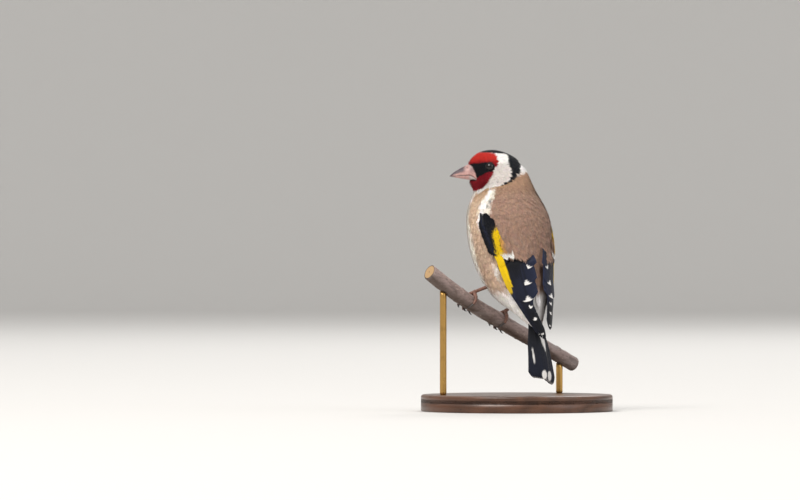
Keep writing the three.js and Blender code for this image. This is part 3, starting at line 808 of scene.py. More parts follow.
def feather_lie(points, normals):
    """The direction in which a feather points, along the surface."""
    forward, _, up = head_axes(points)
    from_bill = points - on_head(13.5, 0.0, -0.5)
    head_flow = unit(from_bill) + np.array((0, 0, -0.15))
    side, turn = points[..., 0] / 20, body_turn(points)
    spread = np.where(turn < 95, 0.30, -0.42) * side
    body_flow = np.stack([spread, 0.36 + 0.25 * (turn < 110), np.full_like(side, -1.0)], -1)
    height, part, _ = wing_place(points)
    beside = smooth(1.9, 1.15, part) * smooth(0.8, 1.0, part)
    beside = beside * smooth(86, 80, height) * smooth(24, 30, height)
    body_flow = mix(unit(body_flow), edge_lie(points), beside)
    share = smooth(4.0, 15.0, np.linalg.norm(from_bill, axis=-1) - 1.5)
    share = share * smooth(-0.5, -11.0, up + 0.35 * forward)
    flow = mix(head_flow, unit(body_flow), np.maximum(share, smooth(94, 88, height)))
    return unit(flow - normals * np.einsum("ij,ij->i", flow, normals)[:, None])


def feather_length(points):
    """Length of a body feather, in millimetres: shortest round the bill and eye, longest on the rump."""
    forward, _, up = head_axes(points)
    height = points[..., 2]
    body = along([(26, 8.5), (40, 7.5), (60, 7.0), (80, 6.2), (90, 5.0), (97, 4.0)], height)
    body = body + 1.2 * smooth(115, 150, body_turn(points)) * smooth(84, 64, height)
    head = along([(-12, 3.0), (-6, 2.4), (0, 2.0), (6, 1.5), (10, 1.15), (13, 0.85)], forward)
    eyes = (on_head(EYE_FORWARD, side * EYE_SIDE, EYE_UP) for side in (1, -1))
    eye = np.minimum(*(np.linalg.norm(points - middle, axis=-1) for middle in eyes))
    head = np.minimum(head, 0.8 + 0.42 * np.maximum(eye - 2.2, 0))
    return body + (head - body) * (smooth(-9.5, -6.0, up) * smooth(88, 91, height))


# Share of the wing from its inner edge, and the height below which body feathers don't grow there
WING_SHOWN = [
    (0, 65.5), (0.56, 65.5), (0.64, 66.0), (0.69, 68.0), (0.72, 76.0), (0.8, 78.0), (0.9, 79.0), (1.0, 77),
    (1.1, 75.5),
]


def shown_wing(points):
    """True where the folded wing's own feathers show, and body feathers leave it bare."""
    height, share, over = wing_place(points)
    top = along(WING_SHOWN, share)
    edge = np.where(height > 60, 1.07, 1.03)
    chord = along([(21.5, 1.7), (29, 5.9), (37, 8.5), (48, 13.8), (62, 17.9), (85, 15.0)], height)
    near = (share * chord > -0.7) & (share < edge) & (over > np.where(share > 0.95, -3.0, -1.4))
    return near & (height < top - 1.5 * (points[..., 0] < 0))


def stand_points(points, triangles, normals, spacing, seed):
    """Spots spread evenly at a spacing that changes over the surface, with their normals."""
    rng = np.random.default_rng(seed)
    a, b, c = (points[triangles[:, i]] for i in range(3))
    area = np.linalg.norm(np.cross(b - a, c - a), axis=1) / 2
    wanted = area / spacing((a + b + c) / 3) ** 2
    pick = rng.choice(len(area), size=int(4.2 * wanted.sum()), p=wanted / wanted.sum())
    r1, r2 = np.sqrt(rng.random(len(pick))), rng.random(len(pick))
    shares = np.stack([1 - r1, r1 * (1 - r2), r1 * r2], -1)
    spots = sum(shares[:, i : i + 1] * points[triangles[pick, i]] for i in range(3))
    facing = unit(sum(shares[:, i : i + 1] * normals[triangles[pick, i]] for i in range(3)))
    reach = spacing(spots) * 0.86
    tree = KDTree(len(spots))
    for i, spot in enumerate(spots):
        tree.insert(spot, i)
    tree.balance()
    open_spot = np.ones(len(spots), bool)
    kept = []
    for i in range(len(spots)):
        if open_spot[i]:
            kept.append(i)
            for _, j, _ in tree.find_range(spots[i], reach[i]):
                open_spot[j] = False
    return spots[kept], facing[kept]


def unwrap_of(points):
    """Where a point lies on the skin, unrolled round the body's bent axis."""
    middle = along([*BODY_MIDDLE, (101.5, -7.1), (110, -7.1)], points[..., 2])
    aside = along([(88, 0.0), (101.5, 2.9)], points[..., 2])
    turn = np.arctan2(points[..., 0] - aside, middle - points[..., 1]) / (2 * math.pi) + 0.5
    high = points[..., 2]
    crown = np.degrees(np.arcsin(np.clip((high - 101.5) / 11.4, -1, 1))) * 0.24
    rise = np.where(high > 101.5, 101.5 + crown, high)
    return np.stack([0.01 + 0.98 * turn, 0.01 + 0.98 * (rise - 15) / 110], -1)


class Coat:
    """The surface that the feathers lie on."""

    def __init__(self):
        nodes = ["torso", "neck", "head", "eye_left", "eye_right", "wing_left", "wing_right"]
        self.points, self.triangles, self.normals = merged_surface(nodes, SUPPORT_VOXEL, 10)
        self.tree = BVHTree.FromPolygons(self.points.tolist(), self.triangles.tolist())

    def near(self, places):
        """The closest places on the surface, and its normals there."""
        found, facing = np.empty_like(places), np.empty_like(places)
        flat_places, flat_found, flat_facing = (a.reshape(-1, 3) for a in (places, found, facing))
        for i, spot in enumerate(flat_places):
            location, normal, _, _ = self.tree.find_nearest(Vector(spot))
            flat_found[i], flat_facing[i] = location, normal
        return found, facing


STATIONS = 5


def lay_feathers(coat, spots, facing, lie, length, width, barbs, base, tip_lift, seed):
    """Feathers on the coat's surface. Returns points, triangles, normals, where each point is along and
    across its feather, and the number of its feather."""
    rng = np.random.default_rng(seed)
    count = len(spots)
    reach = np.linspace(0, 1, STATIONS)
    track = spots[:, None] + lie[:, None] * (reach[:, None] * length[:, None, None])
    track, track_normal = coat.near(track)
    track_normal = unit(track_normal * 0.6 + facing[:, None] * 0.4)
    track[:, 1:-1] = track[:, 1:-1] * 0.5 + (track[:, 2:] + track[:, :-2]) * 0.25
    across = unit(np.cross(facing, lie))

    # A feather's own plan: barbs leave the shaft on both sides and sweep forward to its outline
    root = np.linspace(0.10, 0.88, barbs)
    sweep = 0.20 * (1 - 0.35 * root)
    plan = np.zeros((2, barbs, 5, 2))
    for hand, sign in enumerate((-1, 1)):
        end = np.minimum(root + sweep + 0.05, 1.0)
        outline = np.sin(np.pi * np.clip(0.06 + 0.94 * end, 0, 1) ** 1.25) ** 0.6
        outline = np.maximum(outline, 0.10)
        half = 0.62 / barbs
        plan[hand, :, 0] = np.stack([root - half, 0 * root], -1)
        plan[hand, :, 1] = np.stack([root + half, 0 * root], -1)
        middle = root + sweep * 0.45
        plan[hand, :, 2] = np.stack([middle - half * 0.95, sign * outline * 0.62], -1)
        plan[hand, :, 3] = np.stack([middle + half * 0.95, sign * outline * 0.56], -1)
        plan[hand, :, 4] = np.stack([end, sign * outline], -1)
    plan = plan.reshape(-1, 5, 2)
    shaft = np.array([[(0.0, -0.05), (0.0, 0.05), (0.93, -0.045), (0.93, 0.045), (1.03, 0.0)]])
    plan = np.concatenate([plan, shaft])
    strands = len(plan)

    along_it = np.broadcast_to(plan[..., 0], (count, strands, 5)).copy()
    across_it = np.broadcast_to(plan[..., 1], (count, strands, 5)).copy()
    fray = rng.normal(0, 1, (count, strands, 3))
    along_it[:, :, 4] += fray[..., 0] * 0.035
    across_it[:, :, 4] *= 1 + fray[..., 1] * 0.10
    along_it[:, :, 2:4] += fray[..., :1] * 0.010
    along_it = np.clip(along_it, 0, 1.08)

    place = np.clip(along_it, 0, 0.9999) * (STATIONS - 1)
    low = place.astype(int)
    part = (place - low)[..., None]
    who = np.arange(count)[:, None, None]
    centre = track[who, low] * (1 - part) + track[who, low + 1] * part
    normal = track_normal[who, low] * (1 - part) + track_normal[who, low + 1] * part
    centre = centre + lie[:, None, None] * (np.maximum(along_it - 1, 0) * length[:, None, None])[..., None]

    half_width = (width / 2)[:, None, None]
    bow = across_it**2 * half_width**2 / 26
    loft = tip_lift[:, None, None] * along_it**1.6 + base * np.maximum(1 - along_it, 0) ** 0.8
    loft = loft + rng.normal(0, 0.03, (count, strands, 1)) * along_it
    arch = 0.10 * half_width * (1 - across_it**2)
    offset = loft + arch - bow
    points = centre + across[:, None, None] * (across_it * half_width)[..., None]
    points = points + normal * offset[..., None]

    soft = normal + across[:, None, None] * (across_it * 0.16)[..., None] - lie[:, None, None] * 0.06
    soft = soft + across[:, None, None] * (fray[..., 2:3] * 0.05)[..., None]
    soft = unit(soft)

    first = np.arange(count * strands)[:, None] * 5
    flipped = np.tile(np.arange(strands) >= barbs, count)
    flipped[strands - 1 :: strands] = False
    faces = [first + np.array(f) for f in ((0, 1, 3), (0, 3, 2), (2, 3, 4))]
    faces = np.concatenate([np.where(flipped[:, None], f, f[:, ::-1]) for f in faces])
    owner = np.repeat(np.arange(count), strands * 5)
    strand = np.tile(np.repeat(np.arange(strands), 5), count)
    return {
        "points": points.reshape(-1, 3),
        "triangles": faces,
        "normals": soft.reshape(-1, 3),
        "along": along_it.reshape(-1),
        "across": across_it.reshape(-1),
        "owner": owner,
        "strand": strand,
    }


def feather_shades(laid, tips, shaft_dark, edge_pale, seed):
    """Colour of each point: its feather's own, darker at the root and shaft, paler at the fringe."""
    rng = np.random.default_rng(seed)
    tone = 1 + rng.normal(0, 0.055, len(tips))
    warm = 1 + rng.normal(0, 0.02, (len(tips), 3))
    shade = (tips * tone[:, None] * warm)[laid["owner"]]
    strand_tone = 1 + rng.normal(0, 0.07, laid["owner"].max() * 32 + 64)
    shade = shade * strand_tone[laid["owner"] * 23 % len(strand_tone) - laid["strand"] % 23][:, None]
    along_it, across_it = laid["along"], np.abs(laid["across"])
    dark = 1 - 0.22 * smooth(0.5, 0.1, along_it) - shaft_dark[laid["owner"]] * smooth(0.42, 0.0, across_it)
    pale = edge_pale[laid["owner"]] * smooth(0.72, 1.0, np.maximum(along_it, across_it * 0.9))
    return np.clip(shade * dark[:, None] + pale[:, None] * (0.9 - shade), 0, 1)


def feather_piece(name, laid, spots, material, marking):
    """Laid feathers as a piece, each a small patch at its root's place on the unrolled skin."""
    unwrap = unwrap_of(spots)[laid["owner"]]
    unwrap = unwrap + np.stack([laid["across"] * 0.0015, (laid["along"] - 0.5) * 0.003], -1)
    points, triangles, normals = (laid[part] for part in ("points", "triangles", "normals"))
    return make_piece(name, points, triangles, material, marking, unwrap, normals=normals)


# Operators

class GOLDFINCH_OT_skin(bpy.types.Operator):
    """One skin through torso, neck and head, inside them by the depth of the coat"""

    bl_idname = "goldfinch.skin"
    bl_label = "Skin"

    def execute(self, context):
        nodes = ["torso", "neck", "head", "eye_left", "eye_right"]
        points, triangles, _ = merged_surface(nodes, sizes().skin_voxel, 24, sizes().coat_depth / MM)
        marking = plumage_colour(points) * 0.8
        piece = make_piece("skin", points, triangles, skin_material(), marking, unwrap_of(points))
        keep(piece, "body_plumage", "torso", "neck", "head")
        return {"FINISHED"}


def region_masks(points):
    """Which points stand in each region of the body feathers."""
    head, chest, back = points[:, 2] > 93.5, points[:, 2] > 66, body_turn(points) >= 112
    fore = head_axes(points)[0] > 1.5
    return {
        "face": head & fore, "crown": head & ~fore,
        "breast": ~head & chest & ~back, "belly": ~chest & ~back,
        "mantle": ~head & chest & back, "rump": ~chest & back,
    }


class GOLDFINCH_OT_plumage(bpy.types.Operator):
    """Body feathers over the skin, each a shaft with barbs, in pieces by region"""

    bl_idname = "goldfinch.plumage"
    bl_label = "Body feathers"

    def execute(self, context):
        coat = Coat()
        density = 1 / math.sqrt(sizes().feather_density * (1))

        def spacing(points):
            return density * (0.17 + 0.15 * feather_length(points))

        spots, facing = stand_points(coat.points, coat.triangles, coat.normals, spacing, seed=11)
        spots, facing = self.clear_spots(spots, facing)
        material = plumage_material()
        for number, (region, here) in enumerate(region_masks(spots).items()):
            self.lay(coat, region, spots[here], facing[here], material, 100 + number)
        return {"FINISHED"}

    def clear_spots(self, spots, facing):
        """Drops the spots on the eyes, under the bill, on the bare wing and past the tail's root."""
        forward, left, up = head_axes(spots)
        clear = ~shown_wing(spots)
        for side in (1, -1):
            eye = np.hypot(forward - EYE_FORWARD, up - EYE_UP)
            clear &= ~((eye < EYE_SHOWN + 0.28) & (left * side > 4))
        horn = along([(-4.0, 9.2), (-3.2, 9.4), (-1.5, 9.9), (1.2, 11.3), (3.3, 12.3), (4.1, 13.4)], up)
        clear &= ~((forward > horn) & (up > -4.0) & (up < 3.9))
        clear &= spots[:, 2] > 27.5
        tips = spots + feather_lie(spots, facing) * (feather_length(spots) * 0.8)[:, None]
        before = (wing_place(spots)[1] > 0.99) & (spots[:, 2] < 81)
        clear &= ~(before & shown_wing(tips) & (wing_place(tips)[1] < 0.985))
        return spots[clear], facing[clear]

    def lay(self, coat, region, spots, facing, material, seed):
        """One region's feathers, the small ones in one piece and the long ones in another."""
        rng = np.random.default_rng(seed)
        length = feather_length(spots) * rng.uniform(0.86, 1.14, len(spots))
        width = length * rng.uniform(0.40, 0.52, len(spots))
        low = smooth(5, 3, np.abs(spots[:, 0])) * smooth(64, 58, spots[:, 2])
        width = width * (1 - 0.35 * low * (spots[:, 1] > 8))
        swing = rng.normal(0, 0.09, (len(spots), 1))
        lie = feather_lie(spots, facing)
        lie = unit(lie + np.cross(facing, lie) * swing)
        small = length < SMALL_FEATHER
        base = -sizes().coat_depth / MM * 0.75
        slot = "head_plumage" if region in ("face", "crown") else "body_plumage"
        for kind, chosen, barbs in (("fine", small, FINE_BARBS), ("long", ~small, sizes().barbs)):
            if chosen.sum() < 10:
                continue
            spot, out, way, reach, broad = (a[chosen] for a in (spots, facing, lie, length, width))
            lift = rng.uniform(-0.08, 0.12, len(spot)) * np.clip(reach / 6, 0.25, 1)
            laid = lay_feathers(coat, spot, out, way, reach, broad, barbs, base, lift, seed + barbs)
            tips = spot + way * reach[:, None] * 0.72
            jitter = rng.normal(0, 0.16, tips.shape) * np.clip(reach / 4, 0.25, 1.6)[:, None]
            height = spot[:, 2]
            brown = smooth(112, 122, body_turn(spot)) * smooth(97, 92, height) * smooth(43, 46, height)
            tones = plumage_colour(tips, jitter)
            marking = feather_shades(laid, tones, 0.03 + 0.10 * brown, 0.03 + 0.05 * brown, seed + 7)
            keep(feather_piece(f"feathers_{region}_{kind}", laid, spot, material, marking), slot)


def flight_vane(place, out, width, shaft_at, rows, thick, tip, columns=13):
    """One flight feather as a closed curved sheet: place(u) and out(u) give its shaft and its face's normal.

    Returns its points, triangles, the place of each point along and across it, and its spot in metres."""
    u = 1 - (1 - np.linspace(0, 1, rows)) ** 1.5
    centre, face = place(u), out(u)
    ahead = unit(np.gradient(centre, u, axis=0))
    across = unit(np.cross(ahead, face))
    outline = np.minimum(0.45 + 1.3 * u, 1) * np.clip((1 - u) / tip * 1.4, 0, 1) ** 0.55
    outline = np.maximum(outline, 0.06)
    v = np.linspace(-1, 1, columns)
    skew = v + shaft_at * (1 - v**2)
    spread = skew[None] * outline[:, None] * width / 2
    camber = -0.10 * width * v**2 * outline[:, None] ** 2
    sheet = centre[:, None] + across[:, None] * spread[..., None] + face[:, None] * camber[..., None]
    half = thick / 2 * (1 - 0.75 * v**6)[None, :, None] * np.linspace(1, 0.5, rows)[:, None, None]
    ridge = 0.10 * np.exp(-((skew / 0.09) ** 2))[None, :, None] * (1 - 0.7 * u)[:, None, None]
    upper = sheet + face[:, None] * (half + ridge)
    lower = sheet - face[:, None] * half
    ring = np.concatenate([upper, lower[:, ::-1]], 1)
    points, triangles = capped(ring)
    where = np.concatenate([v, v[::-1]])
    along_it = np.concatenate([np.repeat(u, 2 * columns), [0, 1]])
    across_it = np.concatenate([np.tile(where, rows), [0, 0]])
    reach = np.linalg.norm(np.diff(centre, axis=0), axis=1).sum()
    aside = np.concatenate([np.concatenate([spread, spread[:, ::-1]], 1).ravel(), [0, 0]])
    spot = np.stack([aside, along_it * reach], -1) * MM
    return points, triangles, along_it, across_it, spot


def vane_piece(name, vanes, material):
    """Flight feathers as one piece, each unwrapped to a cell of its own."""
    columns = math.ceil(math.sqrt(len(vanes) * 2.5))
    cells = np.array((columns, math.ceil(len(vanes) / columns)))
    points, triangles = joined([vane[:2] for vane in vanes])
    unwrap = []
    for i, (_, _, along_it, across_it, _, _) in enumerate(vanes):
        inside = np.stack([across_it * 0.44 + 0.5, along_it * 0.94 + 0.03], -1)
        unwrap.append((np.array((i % columns, i // columns)) + inside) / cells)
    spots, marking = (np.concatenate([vane[k] for vane in vanes]) for k in (4, 5))
    marking, unwrap = np.clip(marking, 0, 1), np.concatenate(unwrap)
    return make_piece(name, points, triangles, material, marking, unwrap, spots)


# Tiers of the folded wing: name, number of feathers, how late they bend to their tips, and for the first and
# last feather the root's and tip's height and share, height over the sheet at root and tip, and width.
WING_TIERS = [
    ("primary", 9, 3.6, (66, 0.91, 21.8, 0.30, 0.00, 0.05, 4.8), (62, 0.66, 36.0, 0.58, 0.05, 0.50, 5.8)),
    ("secondary", 7, 1.5, (64, 0.82, 36.3, 0.47, 0.05, 0.65, 6.0), (63, 0.42, 43.5, 0.34, 0.15, 0.90, 9.4)),
    ("tertial", 3, 1.2, (66, 0.44, 39.9, 0.46, 0.10, 1.10, 12.0), (68, 0.30, 55.2, 0.19, 0.10, 1.40, 10.4)),
    ("greater_covert", 8, 1.0, (71, 0.9, 56, 0.93, 0.2, 0.7, 3.4), (69, 0.6, 60.2, 0.6, 0.2, 1.2, 3.8)),
    ("primary_covert", 5, 1.0, (77, 1.01, 61.9, 0.985, 0.2, 0.8, 2.4), (75, 0.92, 63.4, 0.93, 0.4, 0.95, 2.6)),
    ("alula", 3, 1.0, (82, 1.04, 65.0, 0.985, 0.50, 1.10, 2.4), (81, 0.97, 70.0, 0.945, 0.60, 1.20, 2.6)),
]
# Height of the lowest small covert at each share of the wing
COVERTS_LOW = [(0.54, 63.6), (0.76, 63.6), (0.80, 66), (0.88, 66.5), (0.93, 65.5), (1.12, 64.5)]
# Share of the wing that the vanes reach past its inner edge, at each height
INNER_REACH = [(37, -0.49), (40.5, -0.43), (47, -0.33), (56, -0.28), (62, -0.22)]
SPOTTED = {"primary": (1, 5), "secondary": (0,), "tertial": (0, 1, 2)}
SPOT_SIZE = {"primary": (0.9, 1.7), "secondary": (2.0,), "tertial": (2.8, 2.7, 2.6)}


def wing_feather_shades(kind, index, height, share, along_it, across_it, spot, rng):
    """Colours of one flight feather from its tier, its place on the wing and its own pattern."""
    # Painted sheen: a blue-grey reflection laid along the vanes, strongest towards their tips and edges
    painted_sheen = smooth(0.2, 0.7, along_it) * (0.45 + 0.55 * smooth(0.85, 0.35, share)) * smooth(32, 44, height)
    shade = layered("black", ("sheen", painted_sheen * (0.45 + 0.35 * np.abs(across_it) ** 2)))
    shade = shade * (1 - 0.45 * smooth(0.10, 0.02, np.abs(across_it)))[:, None]
    slip = rng.normal(0, 0.12)
    if kind in ("primary", "secondary", "greater_covert"):
        shade = layered(shade, ("yellow", yellow_band(height + slip, share)))
    if index in SPOTTED.get(kind, ()):
        size = SPOT_SIZE[kind][SPOTTED[kind].index(index)]
        up, aside = (spot[:, 1].max() - spot[:, 1]) / MM, spot[:, 0] / MM
        wedge = size * 0.62 * (1 - np.clip(up / size, 0, 1)) ** 0.8 + 0.10
        arm = smooth(0.55, 0.25, np.abs(up - 0.5 - 0.1 * aside)) * smooth(size, size * 0.8, np.abs(aside))
        body = smooth(0.16, -0.16, np.abs(aside) - wedge) * smooth(1.05, 0.9, up / size)
        body = body * smooth(0.05, 0.3, up)
        shade = layered(shade, ("white", np.maximum(body, arm * 0.9)))
    # A paler rim on each vane, tinted with the painted sheen's colour
    pale_edge = smooth(0.90, 1.0, np.abs(across_it)) * smooth(0.2, 0.6, along_it)
    return layered(shade, (colour("sheen") * 1.6, pale_edge * 0.25))


class GOLDFINCH_OT_wings(bpy.types.Operator):
    """Both folded wings, feather by feather in their tiers"""

    bl_idname = "goldfinch.wings"
    bl_label = "Wings"

    def execute(self, context):
        material, soft = vane_material(), plumage_material()
        for side, word in ((1, "left"), (-1, "right")):
            rng = np.random.default_rng(20 + side)
            vanes = [self.feather(side, tier, index, rng) for tier in WING_TIERS for index in range(tier[1])]
            keep(vane_piece(f"wing_{word}_vanes", vanes, material), "wing_plumage", f"wing_{word}")
            self.small_coverts(side, word, soft, rng)
        return {"FINISHED"}

    def feather(self, side, tier, index, rng):
        """One flight feather or covert, at its place in its tier."""
        kind, count, bend, first, last = tier
        values = np.array(first) + (np.array(last) - np.array(first)) * (index / max(count - 1, 1))
        root_height, root_share, tip_height, tip_share, over_root, over_tip, width = values
        tip_height += rng.normal(0, 0.15)
        width *= rng.uniform(0.97, 1.03)
        if side < 0 and kind in ("primary", "secondary"):
            width *= 1.25
        level = index * 0.012

        def route(u):
            height = root_height + (tip_height - root_height) * u
            return height, root_share + (tip_share - root_share) * u**bend

        def place(u):
            height, part = route(u)
            over = over_root + (over_tip - over_root) * u - 0.12 * u**6 + level
            under_mantle = smooth(57.5, 61.5, height - 4.5 * (side < 0)) * smooth(0.80, 0.72, part)
            return on_wing(side, height, part, over - (1.5 + 2.0 * smooth(0.45, 0.25, part)) * under_mantle)

        def out(u):
            return wing_out(side, route(u)[0])

        rows, tip = (58, 0.15) if kind in ("primary", "secondary", "tertial") else (26, 0.5)
        shaft_at = -0.25 * side if kind == "primary" else 0.0
        vane = flight_vane(place, out, width, shaft_at, rows, 0.18, tip)
        points, triangles, along_it, across_it, spot = vane
        height, part = route(along_it)
        lead_x, lead_y, inner_x, inner_y, _ = wing_chord(height)
        part = part + spot[:, 0] / MM * side / np.hypot(lead_x - inner_x, lead_y - inner_y)
        past = np.minimum(part - along(INNER_REACH, height), 0) * 0.85
        inward = np.stack([(inner_x - lead_x) * side, inner_y - lead_y, 0 * part], -1)
        points = points + inward * past[:, None]
        shades = wing_feather_shades(kind, index, height, part, along_it, across_it * side, spot, rng)
        return points, triangles, along_it, across_it, spot, shades

    def small_coverts(self, side, word, material, rng):
        """Soft lesser coverts along the top of the wing, laid as body feathers are."""
        height, share = np.meshgrid(np.linspace(84, 62, 34), np.linspace(0.54, 1.07, 24), indexing="ij")
        height = height.ravel() + rng.normal(0, 0.3, height.size)
        share = share.ravel() + rng.normal(0, 0.008, share.size)
        lowest = along(COVERTS_LOW, share)
        kept = (height > lowest) & (height < along(WING_SHOWN, share) + 3.5)
        height, share = height[kept], share[kept]
        sheet = SheetTrack(side)
        spots, facing = on_wing(side, height, share, sheet.OVER), wing_out(side, height)
        lie = unit(on_wing(side, height - 1.0, share, sheet.OVER) - spots)
        length = rng.uniform(3.4, 4.4, len(spots))
        lift = rng.uniform(0.95, 1.2, len(spots)) - 1.1 * smooth(76, 83, height)
        laid = lay_feathers(sheet, spots, facing, lie, length, length * 0.6, 8, 0.2, lift, 40 + side)
        shades = wing_colour(height - length * 0.8, share, rng.normal(0, 0.12, (len(spots), 2)))
        shaft_dark, edge_pale = (np.full(len(spots), tone) for tone in (0.05, 0.02))
        marking = feather_shades(laid, shades, shaft_dark, edge_pale, 50 + side)
        keep(feather_piece(f"wing_{word}_coverts", laid, spots, material, marking), "wing_plumage")


class SheetTrack:
    """A folded wing's sheet, for small feathers to lie on."""

    OVER = 0.35  # height over the sheet

    def __init__(self, side):
        self.side = side

    def near(self, places):
        mirrored = places * np.array((1 if self.side > 0 else -1 / RIGHT_NARROW, 1, 1))
        height, share, _ = wing_place(mirrored)
        share = np.clip(share, -0.1, 1.1)
        return on_wing(self.side, height, share, self.OVER), wing_out(self.side, height)


TAIL_ROOT = np.array((0.0, 21.3, 32.0))
TAIL_FEATHERS = 12
TAIL_SPOTS = [(-1.0, 4.9, 1.35, 2.1), (-4.5, 4.2, 1.45, 2.3)]  # middle in x and height, half their sizes


class GOLDFINCH_OT_tail(bpy.types.Operator):
    """Twelve tail feathers in a closed fan, the middle pair on top"""

    bl_idname = "goldfinch.tail"
    bl_label = "Tail"

    def execute(self, context):
        rng = np.random.default_rng(31)
        middle = (TAIL_FEATHERS - 1) / 2
        order = sorted(range(TAIL_FEATHERS), key=lambda i: -abs(i - middle))
        vanes = [self.feather((middle - i) / middle, rng) for i in order]
        keep(vane_piece("tail_vanes", vanes, vane_material()), "tail_plumage", "tail")
        return {"FINISHED"}

    def feather(self, out, rng):
        """One tail feather: out is 1 at the left edge of the fan and -1 at the right."""
        under = abs(out) * 1.9
        root = TAIL_ROOT + np.array((out * 1.7, -under * 0.5, 0))
        tip_height = 2.4 + 1.7 * out - 0.7 * abs(out) + rng.normal(0, 0.15)
        tip = np.array((-1.4 + out * 5.2, 27.9 - under, tip_height))

        def place(u):
            return root + (tip - root) * u[:, None] + np.array((0, 1.1, 0)) * np.sin(math.pi * u)[:, None]

        def face(u):
            return np.tile(unit(np.array((out * 0.12, 0.985, 0.17))), (len(u), 1))

        vane = flight_vane(place, face, 5.4 + 0.8 * abs(out), 0.3 * out, 44, 0.2, 0.14)
        points, _, along_it, across_it, _ = vane
        return (*vane, self.shades(points, out, along_it, across_it))

    def shades(self, points, out, along_it, across_it):
        """Black with a painted blue-grey sheen, and the white spots, stripe and wedge that lie across the
        folded fan.
        """
        x, height = points[:, 0], points[:, 2]
        # Painted sheen along each tail feather, strongest towards its tip
        painted_sheen = 0.35 * smooth(0.2, 0.9, along_it) * (1 - 0.4 * np.abs(across_it))
        shade = layered("black", ("sheen", painted_sheen))
        shade = shade * (1 - 0.4 * smooth(0.10, 0.02, np.abs(across_it)))[:, None]
        for spot_x, spot_height, half_x, half_height in TAIL_SPOTS:
            far = np.hypot((x - spot_x) / half_x, (height - spot_height) / half_height)
            shade = layered(shade, ("white", smooth(1.12, 0.92, far)))
        stripe = smooth(0.42, 0.24, np.abs(x - 3.75 - 0.05 * (height - 14)))
        stripe = stripe * smooth(9.8, 11, height) * smooth(18, 16.5, height)
        wedge = np.abs(x + 2.5 + 0.16 * (20 - height)) - 1.25 * smooth(14.5, 21.0, height)
        wedge = smooth(0.2, -0.2, wedge) * smooth(13.5, 15.0, height)
        shade = layered(shade, ("white", stripe * 0.9), ("white", wedge * smooth(27, 24, height) * 0.9))
        if abs(out) > 0.6:
            far = np.hypot((across_it * np.sign(out) + 0.35) / 0.5, (along_it - 0.68) / 0.2)
            shade = layered(shade, ("white", smooth(1.1, 0.8, far) * 0.85))
        fringe = smooth(0.972, 0.985, along_it) * (np.abs(across_it) < 0.8)
        return layered(shade, ("cheek", fringe * 0.35))


